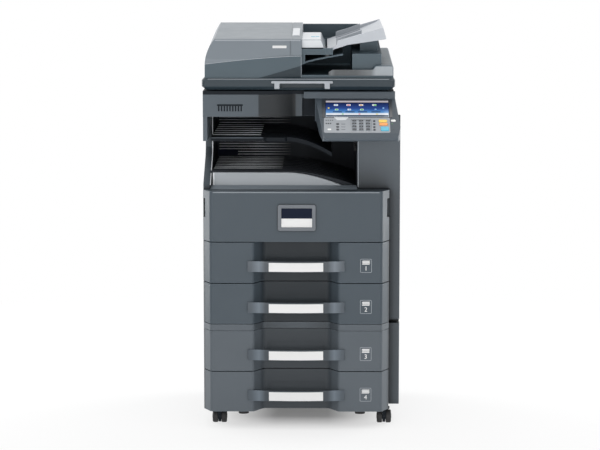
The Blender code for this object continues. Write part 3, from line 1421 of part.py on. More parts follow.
def document_tray(dark, light):
    """Curved document tray between two rims, hinged at its gussets, with its two coupled guides."""
    bed_end = DOC_TRAY_END - RIM_RAKE - SEAM
    bed = band(bed_curve(DOC_TRAY_START, bed_end), 0, DOC_TRAY_T)
    rise = (DOC_Y[0] - FEEDER_FRONT) * tan(DOC_PITCH)
    pivot = (DOC_HINGE[0], DOC_Y[0], DOC_HINGE[1] + rise)
    plate = lean(prism(bed, "Y", DOC_Y[0] + FIT, DOC_Y[1] - FIT), DOC_PITCH)
    tray = piece("document_tray", plate, dark, pivot)
    x, z = DOC_HINGE
    lip = [
        (bed_end - RIM_RAKE, doc_top(bed_end - RIM_RAKE) - DOC_TRAY_T / 2),
        (DOC_TRAY_END - RIM_RAKE, z + RIM_END_LOW + FIT),
        (DOC_TRAY_END - FIT, z + RIM_END_LOW + FIT),
        (DOC_TRAY_END - RIM_RAKE - FIT, z + RIM_END_HIGH - FIT),
        (bed_end - RIM_RAKE, doc_top(bed_end - RIM_RAKE) + FIT),
    ]
    weld(tray, lean(prism(lip, "Y", DOC_Y[0] + 2 * FIT, DOC_Y[1] - 2 * FIT), DOC_PITCH))
    sides = ((DOC_Y[0], DOC_Y[0] + DOC_RIM_W), (DOC_Y[1] - DOC_RIM_W, DOC_Y[1]))
    weld(tray, *[lean(prism(rim_outline(), "Y", *side), DOC_PITCH) for side in sides])
    gusset = [
        (x - HINGE_BACK + FIT, z + BED_RISE - FIT),
        (x - HINGE_BACK + FIT, z - HINGE_BACK),
        (x + SEAM, z - HINGE_BACK),
        (DOC_TRAY_START + RIM_START + 2 * SEAM, z + RIM_LOW),
        (DOC_TRAY_START + RIM_START + SEAM, z + RIM_LOW + SEAM),
    ]
    weld(tray, *[lean(prism(gusset, "Y", low + FIT, high - FIT), DOC_PITCH) for low, high in sides])
    pin = SHAFT_R / 2
    weld(
        tray,
        *[
            tilt(spindle("Y", x, z, [(low, pin), (high, pin)], 10), z, DOC_PITCH)
            for low, high in (
                (DOC_Y[0] - EAR_T + EAR_GAP, DOC_Y[0] + EAR_T / 2),
                (DOC_Y[1] - EAR_T / 2, DOC_Y[1] + EAR_T - EAR_GAP),
            )
        ],
    )
    middle = sum(DOC_Y) / 2
    left = DOC_TRAY_START + RIM_START
    right = left + GUIDE_L
    for name, side in (("guide_front", -1), ("guide_rear", 1)):
        wall = middle + side * GUIDE_SPREAD
        foot = sorted((wall - side * GUIDE_FOOT, wall))
        base = lean(prism(band(bed_curve(left, right, 4), SEAM, -FIT), "Y", *foot), DOC_PITCH)
        item = piece(name, base, light)
        fin = sorted((wall - side * GUIDE_T, wall + side * FIT))
        shape = band(bed_curve(left - FIT, right + FIT, 4), GUIDE_H, -2 * FIT)
        weld(item, lean(prism(shape, "Y", *fin), DOC_PITCH))


# Casters

def caster(place, x, y, steel, rubber):
    """A twin-wheel caster: a swivelling fork and a pair of wheels on one axle."""
    sides = 20
    hub = (y + CASTER_TRAIL, WHEEL_R * cos(pi / sides))
    top = BASE_H - FIT
    plate = 0.006
    fork = piece(f"caster_fork_{place}", spindle("Z", x, y, [
        (top - plate, WHEEL_R * 0.85),
        (top, WHEEL_R * 0.85),
    ]), steel, (x, y, top))
    web = rounded([
        (y - 0.012, top - plate / 2, 0),
        (y - 0.010, hub[1] + 0.012, 0.010),
        (hub[0] - 0.009, hub[1] - 0.009, 0.006),
        (hub[0] + 0.009, hub[1] - 0.009, 0.006),
        (hub[0] + 0.004, hub[1] + 0.014, 0.008),
        (y + 0.012, top - plate / 2, 0),
    ], 3)
    weld(fork, prism(web, "X", x - FORK_W / 2, x + FORK_W / 2))
    bore = [(x - FORK_W, AXLE_R + FIT), (x + FORK_W, AXLE_R + FIT)]
    cut(fork, spindle("X", *hub, bore, 12))
    near = FORK_W / 2 + 2 * FIT
    far = near + WHEEL_W
    half = [
        (far, WHEEL_R * 0.45),
        (far, WHEEL_R * 0.86),
        (far - 0.003, WHEEL_R),
        (near + 0.002, WHEEL_R),
        (near, WHEEL_R * 0.92),
        (near, AXLE_R),
    ]
    stations = [(x - level, radius) for level, radius in half]
    stations += [(x + level, radius) for level, radius in half[::-1]]
    piece(f"caster_wheels_{place}", spindle("X", *hub, stations, sides), rubber, (x, *hub))


def casters(steel, rubber):
    """Four casters, one near each corner of the base."""
    rows = {"front": FRONT + CASTER_INSET_Y, "rear": REAR - CASTER_INSET_Y}
    columns = {"left": LEFT + CASTER_INSET_X, "right": RIGHT - CASTER_INSET_X}
    for row, y in rows.items():
        for column, x in columns.items():
            caster(f"{row}_{column}", x, y, steel, rubber)


def main():
    """Build the machine from the floor up."""
    for item in list(bpy.data.objects):
        bpy.data.objects.remove(item, do_unlink=True)
    panel = finish("slate_panel", (0.105, 0.125, 0.145), 0.45)
    dark = finish("black_moulding", (0.012, 0.015, 0.019), 0.55)
    light = finish("pale_moulding", (0.36, 0.39, 0.42), 0.45)
    cover = finish("silver_panel", (0.24, 0.27, 0.30), 0.40)
    steel = finish("plated_steel", (0.55, 0.56, 0.57), 0.35, 1.0)
    rubber = finish("black_rubber", (0.015, 0.015, 0.016), 0.75)
    drum = finish("drum_coating", (0.05, 0.22, 0.20), 0.15)
    glass = finish("platen_glass", (0.55, 0.62, 0.62), 0.05)
    screen = finish("screen_glass", (0.02, 0.025, 0.035), 0.12)
    white = finish("white_pad", (0.80, 0.80, 0.78), 0.60)
    keys = {
        "number_keypad": finish("key_grey", (0.42, 0.44, 0.46), 0.5),
        "start_key": finish("key_cyan", (0.05, 0.45, 0.62), 0.4),
        "stop_key": finish("key_orange", (0.80, 0.25, 0.06), 0.4),
        "reset_key": finish("key_yellow", (0.80, 0.55, 0.05), 0.4),
        "power_key": finish("key_white", (0.75, 0.76, 0.76), 0.4),
    }
    casters(steel, rubber)
    feeder_cabinet(panel)
    engine_cabinet(panel)
    for number, floor in enumerate(DRAWER_FLOORS, start=1):
        drawer(number, floor, panel, dark)
    front_cover(panel)
    left_cover(panel)
    rear_cover(panel)
    right_front_cover(panel)
    right_doors(panel, dark)
    toner_container(dark)
    engine_rollers(drum, rubber, steel)
    output_trays(dark, light)
    scanner(panel, dark, glass, steel)
    console(panel, screen, keys)
    lid(dark, light, white, steel)
    roller_z, trough_y = feeder_body(panel)
    feed_roller(rubber, roller_z, trough_y)
    feeder_top(cover)
    document_tray(cover, light)


main()
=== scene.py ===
"""Looks of a floor-standing photocopier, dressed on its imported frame.

Every size is in metres, in the frame's own axes: +X to the user's right, +Y to the rear, +Z up.
"""
import logging
from dataclasses import dataclass, replace
from enum import Enum
from math import atan, cos, pi, radians, sin
from typing import Any, Optional, Sequence, Union

import bmesh
import bpy
from mathutils import Matrix, Vector


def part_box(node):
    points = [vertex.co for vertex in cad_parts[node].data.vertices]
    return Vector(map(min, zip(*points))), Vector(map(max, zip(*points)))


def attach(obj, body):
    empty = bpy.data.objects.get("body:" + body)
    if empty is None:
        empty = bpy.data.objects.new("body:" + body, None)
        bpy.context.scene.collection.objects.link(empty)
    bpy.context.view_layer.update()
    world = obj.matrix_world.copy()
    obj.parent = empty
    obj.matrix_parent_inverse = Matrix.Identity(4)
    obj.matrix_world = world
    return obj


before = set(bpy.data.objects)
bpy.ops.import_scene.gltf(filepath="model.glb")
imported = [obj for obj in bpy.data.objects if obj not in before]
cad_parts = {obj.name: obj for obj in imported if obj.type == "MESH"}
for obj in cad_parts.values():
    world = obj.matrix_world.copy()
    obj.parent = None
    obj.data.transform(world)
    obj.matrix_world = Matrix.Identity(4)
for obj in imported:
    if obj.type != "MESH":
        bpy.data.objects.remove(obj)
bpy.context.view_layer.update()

LOG = logging.getLogger("photocopier")
FRAME_BODY = "frame"
FRONT_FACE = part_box("drawer_front_1")[0][1]
SHARP_ANGLE = radians(35)
JOIN_DISTANCE = 1e-6
WELD_DISTANCE = 0.00002
DIGIT_SCALE = 1.35
SKIN = 0.0008
STRIP = 0.0004
SOFT_RIM = 0.0004
FINE_RIM = 0.0003
FINE_CORNER = 0.001
SMALL_CORNER = 0.002
SOFT_CORNER = 0.003
ROUND_CORNER = 0.004
BROAD_CORNER = 0.006

Colour = tuple[float, float, float]
Point = tuple[float, float]
Box = tuple[float, float, float, float]
Outline = Sequence[Point]
Stops = Sequence[tuple[float, Colour]]
Key = Union[int, str]
Term = Union["Value", float, Sequence[float]]


# Shader graphs

MIX_FIRST, MIX_SECOND, MIX_RESULT = 6, 7, 2


class Value:
    """A shader socket that sums and products can be written on."""

    def __init__(self, graph: "Graph", socket: Optional[bpy.types.NodeSocket]) -> None:
        """Keep the socket and the graph that it belongs to."""
        self.graph = graph
        self.socket = socket

    def _math(self, operation: str, first: Term, second: Term) -> "Value":
        """Add a Math node for an operation on two terms."""
        return self.graph.node("ShaderNodeMath", {"operation": operation}, {0: first, 1: second})

    def __add__(self, other: Term) -> "Value":
        """Add a value or a number."""
        return self._math("ADD", self, other)

    def __radd__(self, other: float) -> "Value":
        """Add to a number."""
        return self._math("ADD", other, self)

    def __sub__(self, other: Term) -> "Value":
        """Subtract a value or a number."""
        return self._math("SUBTRACT", self, other)

    def __rsub__(self, other: float) -> "Value":
        """Subtract from a number."""
        return self._math("SUBTRACT", other, self)

    def __mul__(self, other: Term) -> "Value":
        """Multiply by a value or a number."""
        return self._math("MULTIPLY", self, other)

    def __rmul__(self, other: float) -> "Value":
        """Multiply a number."""
        return self._math("MULTIPLY", other, self)

    def __pow__(self, other: Term) -> "Value":
        """Raise to a power."""
        return self._math("POWER", self, other)

    def clipped(self) -> "Value":
        """Hold the value between nought and one."""
        return self.graph.node("ShaderNodeClamp", {}, {"Value": self})


class Graph:
    """The node tree of one material or world."""

    def __init__(self, owner: Union[bpy.types.Material, bpy.types.World]) -> None:
        """Start with an empty node tree.

        Args:
            owner: the material or world that the tree belongs to.
        """
        owner.use_nodes = True
        self.owner = owner
        self.tree = owner.node_tree
        self.tree.nodes.clear()

    @classmethod
    def material(cls, name: str) -> "Graph":
        """Start the graph of a new material."""
        return cls(bpy.data.materials.new(name))

    def node(self, kind: str, settings: dict[str, Any], sockets: dict[Key, Term], out: Key = 0) -> Value:
        """Add a node.

        Args:
            kind: the node's type.
            settings: its own settings; "stops" are a colour ramp's (position, colour) pairs.
            sockets: a value, a number, a colour or a vector for each input, by name or number.
            out: the output to hand back, by name or number.

        Returns:
            The chosen output.
        """
        item = self.tree.nodes.new(kind)
        for key, setting in settings.items():
            if key == "stops":
                self._set_stops(item.color_ramp, setting)
            else:
                setattr(item, key, setting)
        for key, content in sockets.items():
            if isinstance(content, Value):
                self.tree.links.new(content.socket, item.inputs[key])
            else:
                item.inputs[key].default_value = content
        return Value(self, item.outputs[out] if item.outputs else None)

    @staticmethod
    def _set_stops(ramp: bpy.types.ColorRamp, stops: Stops) -> None:
        """Give a colour ramp its stops, first to last.

        Args:
            ramp: the colour ramp.
            stops: each stop's position and colour.
        """
        while len(ramp.elements) < len(stops):
            ramp.elements.new(1.0)
        for element, (position, rgb) in zip(ramp.elements, stops):
            element.position = position
            element.color = opaque(rgb)

    def place(self, stretch: Colour = (1.0, 1.0, 1.0)) -> Value:
        """Give the surface's own coordinates, in metres times a stretch along each axis."""
        where = self.node("ShaderNodeTexCoord", {}, {}, "Object")
        return self.node("ShaderNodeVectorMath", {"operation": "MULTIPLY"}, {0: where, 1: stretch})

    def axis(self, name: str) -> Value:
        """Give the surface's own X, Y or Z, in metres."""
        return self.node("ShaderNodeSeparateXYZ", {}, {"Vector": self.place()}, name)

    def noise(self, where: Value, scale: float, detail: float) -> Value:
        """Give smooth noise around one half."""
        return self.node("ShaderNodeTexNoise", {}, {"Vector": where, "Scale": scale, "Detail": detail})

    def ramp(self, share: Value, stops: Stops) -> Value:
        """Give the colour at a share of the way along a ramp."""
        return self.node("ShaderNodeValToRGB", {"stops": stops}, {"Fac": share.clipped()}, "Color")

    def mix(self, factor: Value, first: Term, second: Term) -> Value:
        """Blend two colours by a factor."""
        sockets = {"Factor": factor, MIX_FIRST: first, MIX_SECOND: second}
        return self.node("ShaderNodeMix", {"data_type": "RGBA"}, sockets, MIX_RESULT)

    def edges(self, radius: float) -> Value:
        """Find the edges, which hands and cloths polish and which get a painted highlight.

        Args:
            radius: how far from an edge the polish and the painted highlight reach.

        Returns:
            Nought on a flat face, rising towards one on an edge.
        """
        soft = self.node("ShaderNodeBevel", {"samples": 4}, {"Radius": radius})
        flat = self.node("ShaderNodeNewGeometry", {}, {}, "Normal")
        along = self.node("ShaderNodeVectorMath", {"operation": "DOT_PRODUCT"}, {0: soft, 1: flat}, "Value")
        return ((1 - along) * 4).clipped()

    def openness(self, reach: float) -> Value:
        """Give one on an open face, falling where another surface lies within reach."""
        return self.node("ShaderNodeAmbientOcclusion", {"samples": 8}, {"Distance": reach}, "AO")

    def bump(self, height: Value, depth: float) -> Value:
        """Raise a surface by a height, one being the depth in metres."""
        return self.node("ShaderNodeBump", {}, {"Height": height, "Distance": depth, "Strength": 1.0})

    def surface(self, sockets: dict[str, Term]) -> bpy.types.Material:
        """Close the graph with a Principled shader.

        Args:
            sockets: the shader's inputs, by name.

        Returns:
            The graph's material.
        """
        shader = self.node("ShaderNodeBsdfPrincipled", {}, sockets)
        self.node("ShaderNodeOutputMaterial", {}, {"Surface": shader})
        return self.owner


# Finishes

class Grain(Enum):
    """Texture left by the mould or the tool: its stretch, scale, detail and depth."""

    PEBBLE = ((1.0, 1.0, 1.0), 1100.0, 0.0, 0.00006)
    SATIN = ((1.0, 1.0, 1.0), 1400.0, 1.0, 0.00002)
    BRUSHED = ((40.0, 2.0, 40.0), 60.0, 2.0, 0.00003)
    FOAM = ((1.0, 1.0, 1.0), 700.0, 3.0, 0.00025)


def opaque(rgb: Colour) -> tuple[float, float, float, float]:
    """Give a colour with full alpha."""
    return (*rgb, 1.0)


def shaded(rgb: Colour, share: float) -> Colour:
    """Scale a colour's three parts alike."""
    return tuple(part * share for part in rgb)


WHITE = (1.0, 1.0, 1.0)
SCREEN_BLACK = (0.01, 0.012, 0.015)
# How far edges are polished and lightened by a painted highlight, and how strongly.
POLISH_AND_HIGHLIGHT_RADIUS = 0.0022
POLISH_ROUGHNESS = 0.08
EDGE_HIGHLIGHT_GAIN = 1.6
CLOUD_SCALE = 5.0
HANDLED_SCALE = 26.0
HANDLED_ROUGHNESS = 0.14
HANDLED_STRETCH = (1.0, 1.0, 0.6)
RELIEF_ROUGHNESS = 0.04
COAT_ROUGHNESS = 0.12
PEBBLE_SMOOTHNESS = 0.6
PAINTED_LIGHT_END_GAIN = 200.0
# Reach and gain of the painted shade in hollows.
HOLLOW_REACH = 0.10
HOLLOW_GAIN = 1.7


@dataclass(frozen=True)
class Surface:
    """A named look, and the material slot that it belongs to."""

    name: str
    slot: str

    def material(self) -> bpy.types.Material:
        """Build the look's shader graph."""
        raise NotImplementedError


@dataclass(frozen=True)
class Finish(Surface):
    """A moulded, coated or machined surface."""

    rgb: Colour
    roughness: float
    grain: Grain = Grain.PEBBLE
    metallic: float = 0.0
    coat: float = 0.0
    mottle: float = 0.07
    # Share of the painted highlight on edges.
    edge_light: float = 0.30
    specular: float = 0.5
    # Painted light and shade: shares of the colour along X, ending at a depth.
    painted_light: tuple[Point, ...] = ()
    painted_light_end: float = 1.0
    # Painted shade in hollows: its strength, and the span of depth it falls over where not found by what
    # lies near.
    hollow_shade: float = 0.0
    hollow_depth: Optional[Point] = None

    def tone(self, graph: Graph) -> Value:
        """Paint light and shade into the colour along X, in front of the depth where the painted light ends.

        Args:
            graph: the material's graph.

        Returns:
            The share of the colour.
        """
        start = self.painted_light[0][0]
        reach = self.painted_light[-1][0] - start
        stops = [((x - start) / reach, (share, share, share)) for x, share in self.painted_light]
        ramp = graph.ramp((graph.axis("X") - start) * (1.0 / reach), stops)
        front = ((self.painted_light_end - graph.axis("Y")) * PAINTED_LIGHT_END_GAIN).clipped()
        return graph.mix(front, opaque(WHITE), ramp)

    def clearance(self, graph: Graph) -> Value:
        """Tell open faces from hollows for the painted shade, by depth or by what lies near.

        Args:
            graph: the material's graph.

        Returns:
            One on an open face, falling to nought deep in a hollow.
        """
        if self.hollow_depth is None:
            return (graph.openness(HOLLOW_REACH) * HOLLOW_GAIN - (HOLLOW_GAIN - 1.0)).clipped()
        mouth, floor = self.hollow_depth
        return ((floor - graph.axis("Y")) * (1.0 / (floor - mouth))).clipped()

    def relief(self, graph: Graph) -> tuple[Value, float]:
        """Make the surface's fine relief.

        Args:
            graph: the material's graph.

        Returns:
            The relief's height, and its depth in metres.
        """
        stretch, scale, detail, depth = self.grain.value
        where = graph.place(stretch)
        if self.grain is Grain.PEBBLE:
            cells = {"Vector": where, "Scale": scale, "Smoothness": PEBBLE_SMOOTHNESS}
            return graph.node("ShaderNodeTexVoronoi", {"feature": "SMOOTH_F1"}, cells), depth
        return graph.noise(where, scale, detail), depth

    def colour(self, graph: Graph, edge: Value) -> Value:
        """Give the base colour: mottled, with a painted highlight on edges, painted light and shade along X,
        and painted shade in hollows.

        Args:
            graph: the material's graph.
            edge: one on an edge and nought on a flat face.

        Returns:
            The colour.
        """
        cloudy = graph.noise(graph.place(), CLOUD_SCALE, 4.0)
        darker, lighter = (opaque(shaded(self.rgb, 1.0 + side * self.mottle)) for side in (-1, 1))
        # A painted highlight lightens the colour on edges.
        highlighted = opaque(shaded(self.rgb, 1.0 + EDGE_HIGHLIGHT_GAIN * self.edge_light))
        colour = graph.mix(edge * self.edge_light, graph.mix(cloudy, darker, lighter), highlighted)
        # Painted light and shade along X.
        if self.painted_light:
            terms = {0: colour, 1: self.tone(graph)}
            colour = graph.node("ShaderNodeVectorMath", {"operation": "MULTIPLY"}, terms)
        # Painted shade darkens the colour in hollows.
        if self.hollow_shade:
            deep = opaque(shaded(self.rgb, 1.0 - self.hollow_shade))
            colour = graph.mix(self.clearance(graph), deep, colour)
        return colour

    def material(self) -> bpy.types.Material:
        """Build the finish's shader graph.

        Returns:
            The new material.
        """
        graph = Graph.material(self.name)
        handled = graph.noise(graph.place(HANDLED_STRETCH), HANDLED_SCALE, 5.0)
        relief, depth = self.relief(graph)
        edge = graph.edges(POLISH_AND_HIGHLIGHT_RADIUS)
        rough = self.roughness + (handled - 0.5) * HANDLED_ROUGHNESS - edge * POLISH_ROUGHNESS
        rough += (relief - 0.5) * RELIEF_ROUGHNESS
        return graph.surface({
            "Base Color": self.colour(graph, edge),
            "Roughness": rough.clipped(),
            "Metallic": self.metallic,
            "Coat Weight": self.coat,
            "Coat Roughness": COAT_ROUGHNESS,
            "Specular IOR Level": self.specular,
            "Normal": graph.bump(relief, depth),
        })


@dataclass(frozen=True)
class ClearGlass(Surface):
    """Flat clear glass with a faint film of dust."""

    rgb: Colour
    polish: float = 0.02
    dust_scale: float = 30.0
    dust_roughness: float = 0.25
    clearness: float = 0.92
    index: float = 1.5

    def material(self) -> bpy.types.Material:
        """Build the glass.

        Returns:
            The new material.
        """
        graph = Graph.material(self.name)
        dust = graph.noise(graph.place(), self.dust_scale, 5.0)
        return graph.surface({
            "Base Color": opaque(self.rgb),
            "Roughness": (self.polish + dust ** 4 * self.dust_roughness).clipped(),
            "Transmission Weight": self.clearness,
            "IOR": self.index,
        })


@dataclass(frozen=True)
class Glow(Surface):
    """A lit face of the screen, shaded from its lower edge to its upper one."""

    stops: tuple[tuple[float, Colour], ...]
    low: float
    high: float
    strength: float = 0.8
    roughness: float = 0.10
    haze_scale: float = 22.0
    haze_roughness: float = 0.06
    haze_shift: float = 0.16

    def material(self) -> bpy.types.Material:
        """Build the lit face.

        Returns:
            The new material.
        """
        graph = Graph.material(self.name)
        share = (graph.axis("Z") - self.low) * (1.0 / (self.high - self.low))
        haze = graph.noise(graph.place((1.0, 2.0, 2.0)), self.haze_scale, 3.0)
        return graph.surface({
            "Base Color": opaque(SCREEN_BLACK),
            "Roughness": self.roughness + haze * self.haze_roughness,
            "Emission Color": graph.ramp(share + (haze - 0.5) * self.haze_shift, self.stops),
            "Emission Strength": self.strength,
        })


@dataclass(frozen=True)
class Lit(Surface):
    """A plain lit mark on the screen."""

    rgb: Colour
    strength: float = 0.85
    roughness: float = 0.12

    def material(self) -> bpy.types.Material:
        """Build the lit mark.

        Returns:
            The new material.
        """
        return Graph.material(self.name).surface({
            "Base Color": opaque(SCREEN_BLACK),
            "Roughness": self.roughness,
            "Emission Color": opaque(self.rgb),
            "Emission Strength": self.strength,
        })


# Depths over which painted shade darkens the drawers' recesses.
DRAWER_HOLLOW = (FRONT_FACE + 0.030, FRONT_FACE + 0.049)
# Slate with painted shade in hollows and a painted highlight on edges.
SLATE = Finish(
    "slate_panel", "slate_panel", (0.057, 0.073, 0.088), 0.44, edge_light=0.8, specular=0.22,
    hollow_shade=0.80,
)
DRAWER_SLATE = replace(SLATE, name="drawer_slate", hollow_shade=0.66, hollow_depth=DRAWER_HOLLOW)
# A lighter copy of the slate: painted light, as from the floor, on the lower cabinet and the tower's front.
PAINTED_LIT_SLATE = Finish(
    "painted_lit_slate", "slate_panel", (0.087, 0.102, 0.117), 0.44, edge_light=0.7, specular=0.22,
    hollow_shade=0.85,
)
PAINTED_LIT_DRAWER_SLATE = replace(
    PAINTED_LIT_SLATE, name="painted_lit_drawer_slate", hollow_shade=0.52, hollow_depth=DRAWER_HOLLOW,
)
# Painted highlights lighten both ends of each bowed handle.
HANDLE_SLATE = Finish(
    "handle_slate", "slate_panel", (0.058, 0.071, 0.085), 0.24, Grain.SATIN, edge_light=0.6, specular=0.3,
    painted_light=(
        (-0.162, 1.00), (-0.148, 1.20), (-0.127, 2.10), (-0.108, 0.80), (-0.098, 0.74), (0.069, 0.74),
        (0.079, 0.80), (0.098, 2.10), (0.119, 1.20), (0.133, 1.00),
    ),
)
CONSOLE_SLATE = Finish(
    "console_slate", "slate_panel", (0.062, 0.078, 0.094), 0.42, edge_light=0.8, specular=0.25,
)
LID_SLATE = Finish("lid_slate", "slate_panel", (0.020, 0.032, 0.041), 0.40, edge_light=1.0, specular=0.3)
FEEDER_SLATE = Finish(
    "feeder_slate", "slate_panel", (0.060, 0.086, 0.104), 0.40, edge_light=0.9, specular=0.3,
)
# A light slate that paints light onto the shaded sill.
PAINTED_LIT_LEDGE = Finish("painted_lit_ledge", "slate_panel", (0.240, 0.278, 0.314), 0.44, specular=0.35)
# Painted shade darkens the scoop beside the console, on the front only.
SCANNER_SLATE = Finish(
    "scanner_slate", "slate_panel", (0.080, 0.098, 0.115), 0.42, specular=0.22, painted_light_end=-0.120, painted_light=(
        (-0.300, 1.0), (-0.129, 0.85), (-0.126, 0.22), (-0.019, 0.08), (-0.0165, 0.62), (0.0, 0.74),
        (0.260, 0.70),
    ),
)
SILVER = Finish("silver_panel", "silver_panel", (0.178, 0.204, 0.228), 0.38, specular=0.4)
TRAY_SILVER = Finish("tray_silver", "silver_panel", (0.450, 0.475, 0.510), 0.40, specular=0.4)
# Painted shade darkens the facing's left part.
RIM_SILVER = Finish("rim_silver", "silver_panel", (0.320, 0.350, 0.375), 0.40, specular=0.4, painted_light=(
    (0.078, 0.16), (0.088, 0.42), (0.100, 0.20), (0.160, 0.22), (0.205, 0.45), (0.220, 0.95), (0.272, 1.0),
))
# Bright strips that paint highlights along edges.
EDGE_HIGHLIGHT = Finish("edge_highlight", "slate_panel", (0.230, 0.255, 0.280), 0.36, Grain.SATIN, specular=0.4)
BLACK = Finish(
    "black_moulding", "black_moulding", (0.008, 0.011, 0.015), 0.56, edge_light=0.8, specular=0.12,
)
# The output tray's own dark colour, and black sheets of painted shade in the output space.
TRAY_AND_SHADE_BLACK = Finish("tray_and_shade_black", "black_moulding", (0.026, 0.030, 0.036), 0.56, specular=0.12)
PALE = Finish("pale_moulding", "pale_moulding", (0.330, 0.355, 0.385), 0.42)
INSERT_PALE = Finish("insert_pale", "pale_moulding", (0.345, 0.370, 0.395), 0.45)
# Painted highlights on rib faces, fading into painted shade towards the right.
RIB_HIGHLIGHT = Finish("rib_highlight", "black_moulding", (0.700, 0.730, 0.760), 0.50, specular=0.3, painted_light=(
    (-0.275, 0.80), (-0.150, 1.0), (-0.095, 0.60), (-0.045, 0.06), (-0.030, 0.04),
))
WHITE_PLATE = Finish("white_plate", "white_pad", (0.67, 0.67, 0.67), 0.40, Grain.SATIN, mottle=0.02)
BRIGHT_TRIM = Finish("bright_trim", "pale_moulding", (0.098, 0.111, 0.129), 0.36, Grain.BRUSHED)
PALE_PLATE = Finish("pale_plate", "pale_moulding", (0.63, 0.655, 0.68), 0.36, Grain.SATIN, mottle=0.03)
DARK_PLATE = Finish("dark_plate", "screen_glass", (0.006, 0.010, 0.024), 0.36, Grain.SATIN, specular=0.06)
STEEL = Finish("plated_steel", "plated_steel", (0.55, 0.56, 0.57), 0.34, Grain.BRUSHED, 1.0, edge_light=0.2)
RUBBER = Finish("black_rubber", "black_rubber", (0.018, 0.018, 0.019), 0.72, Grain.SATIN, edge_light=0.5)
DRUM = Finish("drum_coating", "drum_coating", (0.03, 0.19, 0.17), 0.14, Grain.SATIN, coat=0.8, mottle=0.03)
PAD = Finish("white_pad", "white_pad", (0.76, 0.76, 0.74), 0.75, Grain.FOAM, mottle=0.03)
GLASS = ClearGlass("platen_glass", "platen_glass", (0.90, 0.95, 0.94))
KEY_DARK = Finish("key_dark", "key_grey", (0.030, 0.034, 0.040), 0.40, Grain.SATIN)
KEY_PANEL = Finish("key_panel", "pale_moulding", (0.300, 0.320, 0.346), 0.36, Grain.SATIN)
BEZEL = Finish("bezel", "screen_glass", (0.030, 0.035, 0.043), 0.30, Grain.SATIN, coat=0.2)
KEY_CYAN = Finish("key_cyan", "key_cyan", (0.045, 0.43, 0.60), 0.32, Grain.SATIN, coat=0.3)
KEY_ORANGE = Finish("key_orange", "key_orange", (0.86, 0.30, 0.035), 0.32, Grain.SATIN, coat=0.3)
KEY_YELLOW = Finish("key_yellow", "key_yellow", (0.86, 0.58, 0.060), 0.32, Grain.SATIN, coat=0.3)
KEY_WHITE = Finish("key_white", "key_white", (0.74, 0.75, 0.74), 0.32, Grain.SATIN, coat=0.3)
LIT_WHITE = Lit("lit_white", "screen_glass", (0.90, 0.92, 0.96))
# A painted glint along the screen's top edge.
LIT_GLINT = Lit("lit_glint", "screen_glass", (0.52, 0.48, 0.52))
LIT_DARK = Lit("lit_dark", "screen_glass", (0.020, 0.035, 0.075))
LIT_RED = Lit("lit_red", "screen_glass", (0.78, 0.16, 0.20))
LIT_ORANGE = Lit("lit_orange", "screen_glass", (0.85, 0.38, 0.06))
LIT_GREEN = Lit("lit_green", "screen_glass", (0.18, 0.62, 0.16))
LIT_YELLOW = Lit("lit_yellow", "screen_glass", (0.85, 0.68, 0.08))
LIT_BLUE = Lit("lit_blue", "screen_glass", (0.28, 0.55, 0.88))


class Palette:
    """Materials, each built once and then shared."""

    def __init__(self) -> None:
        """Start with no materials."""
        self.built: dict[str, bpy.types.Material] = {}

    def get(self, finish: Surface) -> bpy.types.Material:
        """Build a finish's material the first time, and share it after that.

        Args:
            finish: the finish.

        Returns:
            Its material.
        """
        if finish.name not in self.built:
            self.built[finish.name] = finish.material()
        return self.built[finish.name]


PALETTE = Palette()


# Places and outlines

class Side(Enum):
    """Side that a flat piece is seen from, as a turn about +Z."""

    FRONT = 0.0
    RIGHT = pi / 2
    REAR = pi
    LEFT = -pi / 2


def flat(x: float = 0.0, y: float = 0.0, z: float = 0.0) -> Matrix:
    """Place a flat piece lying down, seen from above."""
    return Matrix.Translation((x, y, z))


def tilted(angle: float, x: float = 0.0, y: float = 0.0, z: float = 0.0) -> Matrix:
    """Place a flat piece that rises to the rear by an angle."""
    return flat(x, y, z) @ Matrix.Rotation(angle, 4, "X")


def upright(side: Side, x: float = 0.0, y: float = 0.0, z: float = 0.0) -> Matrix:
    """Place a flat piece upright, seen from one side."""
    return flat(x, y, z) @ (Matrix.Rotation(side.value, 4, "Z") @ Matrix.Rotation(pi / 2, 4, "X"))


def corners(node: str) -> tuple[Vector, Vector]:
    """Give the lowest and highest corners of a node's box."""
    low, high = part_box(node)
    return Vector(low), Vector(high)


def rectangle(left: float, low: float, right: float, high: float) -> list[Point]:
    """Outline a rectangle with square corners."""
    return [(left, low), (right, low), (right, high), (left, high)]


def shifted(outline: Outline, across: float, up: float) -> list[Point]:
    """Move an outline in its own plane."""
    return [(u + across, v + up) for u, v in outline]


def disc(radius: float, sides: int = 20) -> list[Point]:
    """Outline a disc around its middle."""
    angles = [2 * pi * step / sides for step in range(sides)]
    return [(radius * cos(angle), radius * sin(angle)) for angle in angles]


def rounded_box(width: float, height: float, radius: float, steps: int = 4) -> list[Point]:
    """Outline a rectangle with round corners.

    Args:
        width: its size along the first axis.
        height: its size along the second axis.
        radius: its corners' radius.
        steps: the straight runs in each corner.

    Returns:
        The outline's points, anticlockwise around its middle.
    """
    outline = []
    for side, end, quarter in ((1, 1, 0), (-1, 1, 1), (-1, -1, 2), (1, -1, 3)):
        for step in range(steps + 1):
            angle = pi / 2 * (quarter + step / steps)
            outline.append((
                side * (width / 2 - radius) + radius * cos(angle),
                end * (height / 2 - radius) + radius * sin(angle),
            ))
    return outline


def rounded_at(u: float, v: float, width: float, height: float, radius: float) -> list[Point]:
    """Outline a rectangle with round corners around a point."""
    return shifted(rounded_box(width, height, radius), u, v)


